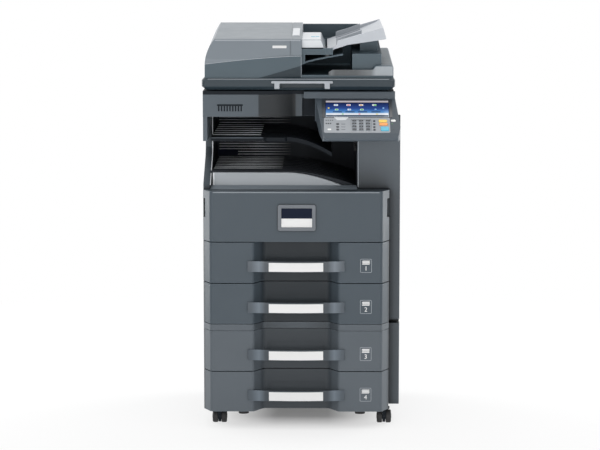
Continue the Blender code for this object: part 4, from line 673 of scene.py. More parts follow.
def rounded_in(box: Box, radius: float, margin: float = 0.0) -> list[Point]:
    """Outline a box with round corners.

    Args:
        box: its left, low, right and high.
        radius: its corners' radius.
        margin: how much wider and taller the outline is than the box.

    Returns:
        The outline's points.
    """
    left, low, right, high = box
    size = (right - left + margin, high - low + margin)
    return shifted(rounded_box(*size, radius), (left + right) / 2, (low + high) / 2)


# Meshes

def make(name: str, mesh: bmesh.types.BMesh, finish: Surface, body: str = FRAME_BODY) -> bpy.types.Object:
    """Turn a mesh into a piece that rides on a body.

    Args:
        name: the piece's name.
        mesh: its mesh, in the frame's axes.
        finish: its finish.
        body: the body that carries it.

    Returns:
        The piece.
    """
    bmesh.ops.recalc_face_normals(mesh, faces=mesh.faces)
    data = bpy.data.meshes.new(name)
    mesh.to_mesh(data)
    mesh.free()
    data.shade_smooth()
    data.set_sharp_from_angle(angle=SHARP_ANGLE)
    data.materials.append(PALETTE.get(finish))
    item = bpy.data.objects.new(name, data)
    bpy.context.scene.collection.objects.link(item)
    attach(item, body)
    LOG.info("made %s on %s", name, body)
    return item


def skin(mesh: bmesh.types.BMesh, loops: Sequence[Sequence[Vector]]) -> None:
    """Cover loops of points with faces, and close the first and the last of them.

    Args:
        mesh: the mesh to add to.
        loops: the loops in order, all with the same number of points.
    """
    rings = [[mesh.verts.new(point) for point in loop] for loop in loops]
    mesh.faces.new(rings[0])
    mesh.faces.new(rings[-1])
    for lower, upper in zip(rings, rings[1:]):
        for index in range(len(lower)):
            after = (index + 1) % len(lower)
            mesh.faces.new((lower[index], lower[after], upper[after], upper[index]))


def add_plate(mesh: bmesh.types.BMesh, outline: Outline, low: float, high: float, place: Matrix,
              rim: float = 0.0) -> None:
    """Add a flat plate with a softened rim to a mesh.

    Args:
        mesh: the mesh to add to.
        outline: the plate's outline, in its own plane.
        low: the level of its back.
        high: the level of its face.
        place: where its plane lies.
        rim: how far its face draws in at the rim.
    """
    middle = Vector((sum(u for u, _ in outline), sum(v for _, v in outline))) / len(outline)
    levels = [(low, 0.0), (high - rim, 0.0)]
    if rim > 0.0:
        levels.append((high, rim))
    loops = []
    for level, draw in levels:
        loop = []
        for u, v in outline:
            away = Vector((u, v)) - middle
            reach = max(away.length, JOIN_DISTANCE)
            near = middle + away * max(0.0, (reach - draw) / reach)
            loop.append(place @ Vector((near.x, near.y, level)))
        loops.append(loop)
    skin(mesh, loops)


def plates(name: str, outlines: Sequence[Outline], thick: float, place: Matrix, finish: Surface,
           body: str = FRAME_BODY, rim: float = 0.0) -> bpy.types.Object:
    """Make one or more flat plates in one plane as one piece.

    Args:
        name: the piece's name.
        outlines: each plate's outline, in their plane.
        thick: their thickness.
        place: where their backs lie.
        finish: their finish.
        body: the body that carries them.
        rim: how far their faces draw in at the rim.

    Returns:
        The piece.
    """
    mesh = bmesh.new()
    for outline in outlines:
        add_plate(mesh, outline, 0.0, thick, place, rim)
    return make(name, mesh, finish, body)


def rows(name: str, outline: Outline, thick: float, places: Sequence[Matrix], finish: Surface,
         body: str = FRAME_BODY, low: float = 0.0, rim: float = 0.0) -> bpy.types.Object:
    """Make copies of one flat plate, each in its own plane, as one piece.

    Args:
        name: the piece's name.
        outline: the plate's outline, in its own plane.
        thick: the level of its face.
        places: where each copy's plane lies.
        finish: its finish.
        body: the body that carries it.
        low: the level of its back.
        rim: how far its face draws in at the rim.

    Returns:
        The piece.
    """
    mesh = bmesh.new()
    for place in places:
        add_plate(mesh, outline, low, thick, place, rim)
    return make(name, mesh, finish, body)


def from_curve(curve: bpy.types.Curve, thick: float, place: Matrix, finish: Surface,
               body: str) -> bpy.types.Object:
    """Turn a flat curve into a raised piece.

    Args:
        curve: the curve, with the piece's name, which is used up.
        thick: the piece's thickness.
        place: where its back lies.
        finish: its finish.
        body: the body that carries it.

    Returns:
        The piece.
    """
    name = curve.name
    curve.extrude = thick / 2
    sketch = bpy.data.objects.new(name, curve)
    filled = bpy.data.meshes.new_from_object(sketch)
    mesh = bmesh.new()
    mesh.from_mesh(filled)
    bpy.data.objects.remove(sketch)
    bpy.data.curves.remove(curve)
    bpy.data.meshes.remove(filled)
    bmesh.ops.remove_doubles(mesh, verts=mesh.verts, dist=JOIN_DISTANCE)
    bmesh.ops.transform(mesh, matrix=place @ flat(z=thick / 2), verts=mesh.verts)
    return make(name, mesh, finish, body)


def pierced(name: str, outlines: Sequence[Outline], thick: float, place: Matrix, finish: Surface,
            body: str = FRAME_BODY) -> bpy.types.Object:
    """Make a flat plate with holes.

    Args:
        name: the piece's name.
        outlines: the plate's outline, then each hole's.
        thick: its thickness.
        place: where its back lies.
        finish: its finish.
        body: the body that carries it.

    Returns:
        The piece.
    """
    curve = bpy.data.curves.new(name, "CURVE")
    curve.dimensions = "2D"
    curve.fill_mode = "BOTH"
    for outline in outlines:
        spline = curve.splines.new("POLY")
        spline.points.add(len(outline) - 1)
        for point, (u, v) in zip(spline.points, outline):
            point.co = (u, v, 0.0, 1.0)
        spline.use_cyclic_u = True
    return from_curve(curve, thick, place, finish, body)


def numeral(name: str, text: str, height: float, thick: float, place: Matrix, finish: Surface,
            body: str = FRAME_BODY) -> bpy.types.Object:
    """Make a raised plain number.

    Args:
        name: the piece's name.
        text: the number.
        height: its height.
        thick: its thickness.
        place: where its middle lies.
        finish: its finish.
        body: the body that carries it.

    Returns:
        The piece.
    """
    curve = bpy.data.curves.new(name, "FONT")
    curve.body = text
    curve.align_x = "CENTER"
    curve.align_y = "CENTER"
    curve.size = height * DIGIT_SCALE
    return from_curve(curve, thick, place, finish, body)


# Frame nodes

class Smoothing:
    """Shading of the frame's solids: smooth over curves, crisp at corners."""

    def __init__(self, angle: float) -> None:
        """Build the node group that keeps corners crisp.

        Args:
            angle: the bend above which an edge is a corner.
        """
        group = bpy.data.node_groups.new("smooth_by_angle", "GeometryNodeTree")
        group.interface.new_socket("Geometry", in_out="INPUT", socket_type="NodeSocketGeometry")
        group.interface.new_socket("Geometry", in_out="OUTPUT", socket_type="NodeSocketGeometry")
        start = group.nodes.new("NodeGroupInput")
        end = group.nodes.new("NodeGroupOutput")
        bend = group.nodes.new("GeometryNodeInputMeshEdgeAngle")
        corner = group.nodes.new("FunctionNodeCompare")
        corner.operation = "GREATER_THAN"
        corner.inputs[1].default_value = angle
        bare = group.nodes.new("GeometryNodeSetMeshNormal")
        bare.inputs["Remove Custom"].default_value = True
        faces = group.nodes.new("GeometryNodeSetShadeSmooth")
        edges = group.nodes.new("GeometryNodeSetShadeSmooth")
        edges.domain = "EDGE"
        edges.inputs["Shade Smooth"].default_value = False
        group.links.new(bend.outputs[0], corner.inputs[0])
        group.links.new(start.outputs[0], bare.inputs["Mesh"])
        group.links.new(bare.outputs[0], faces.inputs[0])
        group.links.new(faces.outputs[0], edges.inputs[0])
        group.links.new(corner.outputs[0], edges.inputs["Selection"])
        group.links.new(edges.outputs[0], end.inputs[0])
        self.group = group

    def apply(self, item: bpy.types.Object, width: float) -> None:
        """Join a node's corners, round its edges and shade it.

        Args:
            item: the frame's object.
            width: the width of its rounded edges.
        """
        item.modifiers.new("Weld", "WELD").merge_threshold = WELD_DISTANCE
        bevel = item.modifiers.new("Bevel", "BEVEL")
        bevel.width = width
        bevel.segments = 3
        bevel.limit_method = "ANGLE"
        bevel.angle_limit = SHARP_ANGLE
        item.modifiers.new("Smooth", "NODES").node_group = self.group
        item.modifiers.new("Weighted", "WEIGHTED_NORMAL").keep_sharp = True


@dataclass
class Casing:
    """Finishes and softened edges of every solid in the frame."""

    panel_edge: float = 0.0020
    fine_edge: float = 0.0006
    panel_slots: tuple[str, ...] = ("slate_panel", "silver_panel")
    finishes: tuple[tuple[Surface, str], ...] = (
        (LID_SLATE, "lid_base"),
        (FEEDER_SLATE, "adf_body"),
        (SCANNER_SLATE, "scanner_housing"),
        (CONSOLE_SLATE, "console_body"),
        (DRAWER_SLATE, "drawer_front_1 drawer_front_2"),
        (PAINTED_LIT_DRAWER_SLATE, "drawer_front_3 drawer_front_4"),
        (PAINTED_LIT_SLATE, "feeder_cabinet feeder_right_cover right_front_cover"),
        (HANDLE_SLATE, "drawer_handle_"),
        (SILVER, "adf_top_cover"),
        (TRAY_SILVER, "document_tray"),
        (PALE, "guide_front guide_rear lid_handle number_keypad"),
        (INSERT_PALE, "tray_insert"),
        (PAD, "platen_pad"),
        (GLASS, "platen_glass"),
        (KEY_CYAN, "start_key"),
        (KEY_ORANGE, "stop_key"),
        (KEY_YELLOW, "reset_key"),
        (KEY_WHITE, "power_key"),
        (DARK_PLATE, "touch_screen"),
        (TRAY_AND_SHADE_BLACK, "output_tray"),
        (BLACK, "separator_tray scanner_top_frame scan_carriage toner_container bypass_tray"),
        (BLACK, "caster_fork_ drawer_tray_"),
        (STEEL, "mirror_carriage hinge_left hinge_right fuser_heat_roller"),
        (RUBBER, "fuser_pressure_roller transfer_roller adf_feed_roller caster_wheels_"),
        (DRUM, "photoconductor_drum"),
    )

    def finish_of(self, name: str) -> Surface:
        """Choose a node's finish by how its name starts.

        Args:
            name: the node's name.

        Returns:
            The finish, which is the panels' slate for a name that isn't listed.
        """
        for finish, starts in self.finishes:
            if name.startswith(tuple(starts.split())):
                return finish
        return SLATE

    def build(self) -> None:
        """Give each node its material and soften its edges."""
        smoothing = Smoothing(SHARP_ANGLE)
        for name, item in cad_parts.items():
            finish = self.finish_of(name)
            item.data.materials.clear()
            item.data.materials.append(PALETTE.get(finish))
            panel = finish.slot in self.panel_slots
            smoothing.apply(item, self.panel_edge if panel else self.fine_edge)
            LOG.info("dressed %s as %s", name, finish.name)


# Drawers

@dataclass
class DrawerStack:
    """Labels on the handles and number plates on the fronts of the four drawers."""

    count: int = 4
    handle_bow: float = 0.015
    label_half: float = 0.081
    label_height: float = 0.0262
    label_drop: float = 0.001
    label_thick: float = 0.0006
    label_gap: float = 0.0002
    label_sink: float = 0.0001
    label_steps: int = 16
    mark_x: float = 0.192
    mark_rise: float = 0.052
    mark_width: float = 0.034
    mark_height: float = 0.041
    mark_line: float = 0.001
    sheet_half: float = 0.0125
    sheet_lean: float = 0.003
    sheet_height: float = 0.003
    sheet_pitch: float = 0.0042
    sheet_rise: float = 0.004
    frame_thick: float = 0.0003
    number_height: float = 0.014
    number_drop: float = 0.0085

    def label(self, number: int) -> None:
        """Lay a bare white label along a handle's bowed face.

        Args:
            number: the drawer's number.
        """
        low, high = corners(f"drawer_handle_{number}")
        middle = (low.x + high.x) / 2
        reach = (high.x - low.x) / 2
        base = (low.z + high.z) / 2 - self.label_height / 2 - self.label_drop
        loops = []
        for index in range(self.label_steps + 1):
            across = self.label_half * (2 * index / self.label_steps - 1)
            face = low.y + self.handle_bow * (across / reach) ** 2 - self.label_gap
            back = face + self.label_gap + self.label_sink
            section = rectangle(back, base, face - self.label_thick, base + self.label_height)
            loops.append([Vector((middle + across, y, z)) for y, z in section])
        mesh = bmesh.new()
        skin(mesh, loops)
        make(f"drawer_label_{number}", mesh, WHITE_PLATE, f"drawer_{number}")

    def number_plate(self, number: int) -> None:
        """Print a framed sheet mark and the drawer's number on its front.

        Args:
            number: the drawer's number.
        """
        low, _high = corners(f"drawer_front_{number}")
        place = upright(Side.FRONT, self.mark_x, low.y, low.z + self.mark_rise)
        body = f"drawer_{number}"
        outer = rounded_box(self.mark_width, self.mark_height, SOFT_CORNER)
        line = 2 * self.mark_line
        inner = rounded_box(self.mark_width - line, self.mark_height - line, SMALL_CORNER)
        pierced(f"drawer_mark_frame_{number}", [outer, inner], self.frame_thick, place, PALE, body)
        sheets = []
        for row in range(3):
            base = self.sheet_rise + self.sheet_pitch * row
            top = base + self.sheet_height
            inset = self.sheet_half - self.sheet_lean
            sheets.append([(-self.sheet_half, base), (inset, base), (self.sheet_half, top), (-inset, top)])
        plates(f"drawer_mark_sheets_{number}", sheets, STRIP, place, WHITE_PLATE, body)
        spot = place @ flat(y=-self.number_drop)
        numeral(f"drawer_mark_number_{number}", str(number), self.number_height, STRIP, spot,
                WHITE_PLATE, body)

    def build(self) -> None:
        """Make the labels and plates of all drawers."""
        for number in range(1, self.count + 1):
            self.label(number)
            self.number_plate(number)


# Front cover

@dataclass
class FrontCover:
    """The framed plate in the middle of the front cover, left bare, a painted highlight along the cover's
    lip and painted shade in its grips.
    """

    body: str = "front_cover"
    middle_x: float = -0.0145
    drop: float = 0.0785
    width: float = 0.1125
    height: float = 0.078
    band: float = 0.0105
    depth: float = 0.0035
    bevel: float = 0.0012
    bevel_angle: float = 40.0
    strip: float = 0.026
    plate_thick: float = 0.0012
    lip_inset: float = 0.031
    lip_drop: Point = (0.0044, 0.0022)
    notch_y: Point = (-0.1678, -0.1452)
    notch_drop: Point = (0.0808, 0.0242)
    notch_depth: float = 0.0101

    def badge(self) -> None:
        """Make the bright frame, the dark field and the pale strip below it."""
        low, high = corners("front_cover")
        place = upright(Side.FRONT, self.middle_x, low.y, high.z - self.drop)
        wide, tall = self.width - 2 * self.band, self.height - 2 * self.band
        outer = rounded_box(self.width, self.height, BROAD_CORNER)
        inner = rounded_box(wide, tall, SMALL_CORNER)
        rim = pierced("badge_frame", [outer, inner], self.depth, place, BRIGHT_TRIM, self.body)
        bevel = rim.modifiers.new("Bevel", "BEVEL")
        bevel.width = self.bevel
        bevel.segments = 2
        bevel.angle_limit = radians(self.bevel_angle)
        upper = rounded_at(0.0, self.strip / 2, wide, tall - self.strip, FINE_CORNER)
        plates("badge_field", [upper], self.plate_thick, place, DARK_PLATE, self.body, FINE_RIM)
        lower = rounded_at(0.0, -(tall - self.strip) / 2, wide, self.strip, FINE_CORNER)
        plates("badge_strip", [lower], self.plate_thick, place, WHITE_PLATE, self.body, FINE_RIM)

    def lip_highlight(self) -> None:
        """Paint a highlight along the cover's upper edge with a bright strip."""
        low, high = corners("front_cover")
        base, top = (high.z - drop for drop in self.lip_drop)
        lip_highlight = rectangle(low.x + self.lip_inset, base, high.x - self.lip_inset, top)
        plates("cover_lip_highlight", [lip_highlight], STRIP, upright(Side.FRONT, y=low.y), EDGE_HIGHLIGHT, self.body)

    def notches(self) -> None:
        """Paint shade into the depths of the finger notches in the cover's two ends with black sheets."""
        low, high = corners("front_cover")
        near, far = self.notch_y
        base, top = (high.z - drop for drop in self.notch_drop)
        right = upright(Side.RIGHT, high.x - self.notch_depth)
        plates("cover_notch_right_shade", [rectangle(near, base, far, top)], SKIN, right, BLACK, self.body)
        left = upright(Side.LEFT, low.x + self.notch_depth)
        plates("cover_notch_left_shade", [rectangle(-far, base, -near, top)], SKIN, left, BLACK, self.body)

    def build(self) -> None:
        """Make the badge place, the lip's painted highlight and the notches' painted shade."""
        self.badge()
        self.lip_highlight()
        self.notches()


# Console

@dataclass
class Console:
    """Lit screen with a painted glint along its top, key field, small keys and marks on the tilted console,
    placed by (u, v) on its panel.
    """

    tilt: float = 29.0
    front_z: float = 0.898
    film: float = 0.0002
    bezel: tuple[Box, Box] = ((0.0600, 0.09715, 0.2660, 0.19565), (0.0700, 0.1010, 0.2570, 0.1895))
    bezel_thick: float = 0.0009
    picture: Box = (0.0714, 0.1020, 0.2553, 0.1765)
    picture_stops: tuple[tuple[float, Colour], ...] = (
        (0.00, (0.68, 0.79, 0.90)), (0.18, (0.43, 0.64, 0.86)), (0.37, (0.06, 0.26, 0.66)),
        (0.60, (0.012, 0.058, 0.30)), (1.00, (0.004, 0.010, 0.075)),
    )
    top_glint: Box = (0.0714, 0.1790, 0.2553, 0.1880)
    status_line: Box = (0.0725, 0.1128, 0.2542, 0.1205)
    status_bar: Box = (0.0725, 0.1035, 0.2542, 0.1115)
    columns: tuple[float, ...] = (0.1012, 0.1382, 0.1751, 0.2141)
    upper_tile: Box = (0.0, 0.1647, 0.0125, 0.0085)
    lower_tile: Box = (0.002, 0.1405, 0.0100, 0.0080)
    menu_bar: Box = (0.004, 0.1282, 0.0270, 0.0042)
    mark_rows: tuple[float, float, float] = (0.1640, 0.1400, 0.1166)
    mark_corner: float = 0.0015
    key_bed: Box = (0.0660, 0.0190, 0.2578, 0.0975)
    bed_thick: float = 0.0006
    key_margin: float = 0.001
    tab: tuple[Point, ...] = ((0.1040, 0.0835), (0.1290, 0.0835), (0.1370, 0.0970), (0.0960, 0.0970))
    pad_middle: Point = (0.1740, 0.0570)
    pad_pitch: Point = (0.0198, 0.0150)
    pad_rows: int = 4
    pad_columns: int = 3
    cap_size: Point = (0.0126, 0.0081)
    cap_lift: float = 0.0020
    cap_thick: float = 0.0005
    cap_corner: float = 0.0028
    digit_height: float = 0.0046
    small_lift: float = 0.0016
    small_rim: float = 0.0005
    tab_rim: float = 0.0006
    small_key: Box = (0.0817, 0.0347, 0.0105, 0.0075)
    right_key_size: Point = (0.0066, 0.0072)
    left_key_size: Point = (0.0084, 0.0072)
    start_stop_reset: tuple[Box, ...] = (
        (0.2305, 0.0275, 0.2540, 0.0490), (0.2265, 0.0560, 0.2510, 0.0690), (0.2250, 0.0725, 0.2495, 0.0855),
    )
    right_keys: tuple[Point, ...] = ((0.2121, 0.0789), (0.2121, 0.0629), (0.2121, 0.0475), (0.2121, 0.0336))
    left_key_x: float = 0.1059
    left_mark_x: float = 0.1220
    left_rows: tuple[float, ...] = (0.0635, 0.0486, 0.0347)
    left_mark_size: Point = (0.0120, 0.0016)
    left_mark_corner: float = 0.0006
    round_marks: tuple[float, ...] = (0.0725, 0.0785, 0.0850, 0.0910)
    round_mark_v: float = 0.0830
    round_mark_radius: float = 0.0020
    tall_marks: tuple[float, ...] = (0.0730, 0.0790, 0.0850)
    tall_mark_v: float = 0.0665
    tall_mark_size: Point = (0.0042, 0.0062)
    mark_thick: float = 0.0003
    lenses: tuple[Point, ...] = ((0.2640, 0.0645), (0.2673, 0.0362))
    lens_radius: float = 0.0024
    lens_thick: float = 0.0006
    lens_rim: float = 0.0002
    light_radius: float = 0.0013

    def panel(self, u: float = 0.0, v: float = 0.0, lift: float = 0.0) -> Matrix:
        """Place a piece on the panel.

        Args:
            u: its place to the right.
            v: its place up the panel.
            lift: its height above the panel.

        Returns:
            The place of the piece's own axes.
        """
        low, _high = corners("console_body")
        return tilted(radians(self.tilt), y=low.y, z=self.front_z) @ flat(u, v, lift)

    def screen(self) -> None:
        """Frame the screen, light its picture and paint a glint along its top."""
        low, high = (self.front_z + self.picture[row] * sin(radians(self.tilt)) for row in (1, 3))
        glow = Glow("screen_picture", "screen_glass", self.picture_stops, low, high)
        outer, inner = self.bezel
        outlines = [rounded_in(outer, BROAD_CORNER), rectangle(*inner)]
        pierced("screen_bezel", outlines, self.bezel_thick, self.panel(), BEZEL)
        plates("screen_picture", [rectangle(*self.picture)], self.film, self.panel(), glow)
        # A glowing strip paints a glint along the screen's top edge.
        plates("screen_top_glint", [rectangle(*self.top_glint)], self.film, self.panel(), LIT_GLINT)

    def tiles(self, count: int, tile: Box, radius: float) -> list[list[Point]]:
        """Outline a tile (shift, v, width, height) in each of the first columns."""
        shift, *spot = tile
        return [rounded_at(u + shift, *spot, radius) for u in self.columns[:count]]

    def menu(self) -> None:
        """Draw a generic menu on the screen: two rows of plain tiles, bars below them and a status line."""
        top = self.panel(lift=self.film)
        sheets = self.tiles(4, self.upper_tile, SMALL_CORNER) + self.tiles(3, self.lower_tile, SMALL_CORNER)
        plates("menu_sheets", sheets, self.film, top, LIT_WHITE)
        plates("menu_bars", self.tiles(4, self.menu_bar, FINE_CORNER), self.film, top, LIT_DARK)
        plates("status_line", [rectangle(*self.status_line)], self.film, top, LIT_WHITE)
        plates("status_bar", [rectangle(*self.status_bar)], self.film, top, LIT_DARK)

    def marks(self) -> None:
        """Put coloured marks on the menu's tiles and on the status line."""
        first, second, third, fourth = self.columns
        upper, lower, status = self.mark_rows
        marks = {
            LIT_RED: [(second, upper, 0.0080, 0.0055), (0.1700, status, 0.0060, 0.0045)],
            LIT_ORANGE: [(third, upper, 0.0075, 0.0050)],
            LIT_GREEN: [
                (first + 0.002, lower, 0.0078, 0.0062), (third + 0.002, lower, 0.0078, 0.0062),
                (fourth + 0.002, upper, 0.0085, 0.0060), (0.1210, status, 0.0060, 0.0045),
            ],
            LIT_YELLOW: [(0.0797, 0.1483, 0.0050, 0.0062), (0.2210, status, 0.0070, 0.0045)],
            LIT_BLUE: [
                (first, 0.1652, 0.0070, 0.0040), (second + 0.003, lower, 0.0050, 0.0050),
                (fourth + 0.003, 0.1420, 0.0060, 0.0050), (0.2403, 0.1483, 0.0050, 0.0062),
            ],
        }
        over = self.panel(lift=2 * self.film)
        for finish, spots in marks.items():
            outlines = [rounded_at(*spot, self.mark_corner) for spot in spots]
            plates(f"menu_marks_{finish.name}", outlines, self.film, over, finish)

    def key_field(self) -> None:
        """Lay the pale field that the keys come through, and the tab below the screen."""
        margin = self.key_margin
        wide, tall = self.pad_columns * self.pad_pitch[0], self.pad_rows * self.pad_pitch[1]
        holes = [rounded_at(*self.pad_middle, wide + margin, tall + margin, SOFT_CORNER)]
        holes += [rounded_in(key, ROUND_CORNER, margin) for key in self.start_stop_reset]
        outlines = [rounded_in(self.key_bed, BROAD_CORNER), *holes]
        pierced("key_field", outlines, self.bed_thick, self.panel(), KEY_PANEL)
        top = self.panel(lift=self.bed_thick)
        plates("screen_tab", [self.tab], self.small_lift, top, PALE_PLATE, rim=self.tab_rim)

    def keypad(self) -> None:
        """Cap the number keys, and number all but the two beside the nought."""
        caps = []
        for index in range(self.pad_rows * self.pad_columns):
            row, column = divmod(index, self.pad_columns)
            u = self.pad_middle[0] + (column - 1) * self.pad_pitch[0]
            v = self.pad_middle[1] + (1.5 - row) * self.pad_pitch[1]
            caps.append(rounded_at(u, v, *self.cap_size, self.cap_corner))
            text = "123456789 0 "[index].strip()
            if text:
                spot = self.panel(u, v, self.cap_lift + self.cap_thick)
                numeral(f"key_number_{text}", text, self.digit_height, self.film, spot, KEY_PANEL)
        plates("key_caps", caps, self.cap_thick, self.panel(lift=self.cap_lift), KEY_DARK, rim=FINE_RIM)

    def small_keys(self) -> None:
        """Set the small function keys and the printed marks."""
        top = self.panel(lift=self.bed_thick)
        dark = [rounded_at(*spot, *self.right_key_size, SMALL_CORNER) for spot in self.right_keys]
        dark += [rounded_at(self.left_key_x, v, *self.left_key_size, SOFT_CORNER) for v in self.left_rows]
        plates("function_keys", dark, self.small_lift, top, KEY_DARK, rim=self.small_rim)
        white = rounded_at(*self.small_key, SMALL_CORNER)
        plates("small_key", [white], self.small_lift, top, KEY_WHITE, rim=self.small_rim)
        spot = disc(self.round_mark_radius, 12)
        marks = [shifted(spot, u, self.round_mark_v) for u in self.round_marks]
        tall = rounded_box(*self.tall_mark_size, FINE_CORNER)
        marks += [shifted(tall, u, self.tall_mark_v) for u in self.tall_marks]
        line = rounded_box(*self.left_mark_size, self.left_mark_corner)
        marks += [shifted(line, self.left_mark_x, v) for v in self.left_rows]
        plates("field_marks", marks, self.mark_thick, top, KEY_DARK)

    def lights(self) -> None:
        """Set the two indicators beside the keys, one of them lit."""
        lenses = [shifted(disc(self.lens_radius, 14), *spot) for spot in self.lenses]
        plates("indicator_lenses", lenses, self.lens_thick, self.panel(), KEY_DARK, rim=self.lens_rim)
        lit = shifted(disc(self.light_radius, 12), *self.lenses[0])
        plates("ready_light", [lit], self.mark_thick, self.panel(lift=self.lens_thick), LIT_GREEN)

    def build(self) -> None:
        """Make everything on the console."""
        self.screen()
        self.menu()
        self.marks()
        self.key_field()
        self.keypad()
        self.small_keys()
        self.lights()


# Output space

@dataclass
class OutputSpace:
    """Black sheets of painted shade, painted highlights along the edges and on the ribs, and the small
    fittings around the output trays.
    """

    wall_y: float = 0.352
    cheek_x: float = -0.275
    tower_x: float = 0.166
    tower_front: float = 0.107
    ledge_z: float = 0.719
    ceiling_z: float = 0.941
    gap: float = 0.001
    corner_gap: float = 0.0005
    wall_thick: float = 0.0011
    exit_slot: Box = (-0.0400, 0.8285, 0.2840, 0.8475)
    cheek_line: tuple[Point, ...] = ((-0.136, 0.0145), (-0.008, 0.0830), (0.020, 0.1130))
    cheek_highlight: tuple[Point, ...] = (
        (-0.1415, 0.0128), (-0.0060, 0.0853), (0.0140, 0.1080), (0.0140, 0.2200),
        (0.0120, 0.2200), (0.0120, 0.1094), (-0.0072, 0.0874), (-0.1415, 0.0152),
    )
    cheek_highlight_thick: float = 0.0026
    tray_rise: float = 0.050
    separator_rise: float = 0.152
    separator_front: float = -0.090
    separator_highlight_strip: Box = (-0.2725, -0.0036, -0.1180, -0.0006)
    separator_highlight_thick: float = 0.0005
    highlight_border: tuple[float, float, float] = (0.0045, 0.0032, 0.0100)
    highlight_border_thick: float = 0.0009
    tower_highlight_strip: Box = (0.0021, 0.004, 0.0043, 0.150)
    rib_pitch: float = 0.0085
    rib_start: float = 0.8
    rib_stand: float = 0.0020
    wall_rows: tuple[int, int] = (10, 7)
    wall_rib: Box = (-0.2688, 0.0002, -0.0402, 0.0028)
    tray_rib: Box = (-0.2685, 0.0002, -0.0600, 0.0021)
    tray_rib_thick: float = 0.0005
    tray_rib_start: float = -0.0655
    tray_rib_pitch: float = 0.04908
    separator_rib: Box = (-0.2700, 0.0, -0.1240, 0.0026)
    separator_rib_thick: float = 0.0012
    separator_rib_start: float = -0.0360
    separator_rib_pitch: float = 0.0725
    separator_rib_sink: float = 0.0002
    sensor: Box = (-0.2413, 0.7835, 0.0645, 0.0190)
    sensor_thick: float = 0.0030
    sill: Box = (-0.2740, 0.0, 0.1650, 0.0395)
    sill_front: float = -0.1414
    sill_rise: Point = (0.0394, 0.0075)
    roller_y: tuple[float, ...] = (0.000, 0.060, 0.120, 0.180, 0.240)
    roller_z: tuple[float, ...] = (0.8250, 0.8510)
    roller_inset: float = 0.0035
    roller_radius: float = 0.0042
    roller_half: float = 0.006

    def shade_sheets(self) -> None:
        """Paint shade onto the rear wall, the tower's side and the cheek with black sheets."""
        low, high = self.ledge_z + self.gap, self.ceiling_z - self.gap
        back = rectangle(self.cheek_x + self.corner_gap, low, self.tower_x - self.corner_gap, high)
        plates("rear_shade_sheet", [back], self.wall_thick, upright(Side.FRONT, y=self.wall_y), TRAY_AND_SHADE_BLACK)
        left, bottom, right, top = self.exit_slot
        side = rectangle(-self.wall_y + 2 * self.gap, low, self.tower_front, high)
        slot = rectangle(-right, bottom, -left, top)
        pierced("tower_shade_sheet", [side, slot], SKIN, upright(Side.LEFT, self.tower_x), TRAY_AND_SHADE_BLACK)
        line = shifted(self.cheek_line, 0.0, self.ledge_z)
        rear = self.wall_y - self.gap
        cheek = [(line[0][0], low), *line, (line[-1][0], high), (rear, high), (rear, low)]
        plates("cheek_shade_sheet", [cheek], SKIN, upright(Side.RIGHT, self.cheek_x), BLACK)

    def edges(self) -> None:
        """Paint highlights along the edges of the cheek, the separator, the insert and the tower with bright
        strips.
        """
        edge = shifted(self.cheek_highlight, 0.0, self.ledge_z)
        plates("cheek_highlight", [edge], self.cheek_highlight_thick, upright(Side.RIGHT, self.cheek_x), PALE_PLATE)
        # A slate strip paints a highlight along the black separator's lip.
        strip = shifted(rectangle(*self.separator_highlight_strip), 0.0, self.ledge_z + self.separator_rise)
        face = upright(Side.FRONT, y=self.separator_front)
        plates("separator_highlight", [strip], self.separator_highlight_thick, face, SLATE)
        low, high = corners("tray_insert")
        side, foot, end = self.highlight_border
        highlight_border = [
            rectangle(low.x, low.z, low.x + side, high.z - self.gap),
            rectangle(low.x + side, low.z, high.x - end, low.z + foot),
        ]
        plates("insert_highlight", highlight_border, self.highlight_border_thick, upright(Side.FRONT, y=low.y), PALE_PLATE)
        low, _high = corners("right_front_cover")
        edge = shifted(rectangle(*self.tower_highlight_strip), low.x, self.ledge_z)
        plates("tower_highlight", [edge], STRIP, upright(Side.FRONT, y=low.y), EDGE_HIGHLIGHT)

    def ribs(self) -> None:
        """Paint highlights onto the faces of the ribs of the rear wall, of the output tray and of the
        separator, with painted shade towards the right.
        """
        tray_z = self.ledge_z + self.tray_rise
        bars = []
        for base, count in zip((tray_z, self.ledge_z + self.separator_rise), self.wall_rows):
            for row in range(count):
                level = base + self.rib_pitch * (row + self.rib_start)
                bars.append(shifted(rectangle(*self.wall_rib), 0.0, level))
        plates("wall_rib_highlights", bars, STRIP, upright(Side.FRONT, y=self.wall_y - self.rib_stand), RIB_HIGHLIGHT)
        fronts = [self.tray_rib_start + self.tray_rib_pitch * row for row in range(1, 9)]
        places = [upright(Side.FRONT, y=y, z=tray_z) for y in fronts]
        rows("tray_rib_highlights", rectangle(*self.tray_rib), self.tray_rib_thick, places, RIB_HIGHLIGHT)
        _low, high = corners("separator_tray")
        fronts = [self.separator_rib_start + self.separator_rib_pitch * row for row in range(6)]
        places = [upright(Side.FRONT, y=y, z=high.z - self.separator_rib_sink) for y in fronts]
        rows("separator_rib_highlights", rectangle(*self.separator_rib), self.separator_rib_thick, places, RIB_HIGHLIGHT)

    def fittings(self) -> None:
        """Add the sensor window, a plate of painted light on the sloping sill and the exit rollers."""
        window = rounded_at(*self.sensor, SMALL_CORNER)
        wall = upright(Side.FRONT, y=self.wall_y)
        plates("sensor_window", [window], self.sensor_thick, wall, DARK_PLATE, rim=SOFT_RIM)
        run, rise = self.sill_rise
        slope = tilted(atan(rise / run), y=self.sill_front, z=self.ledge_z)
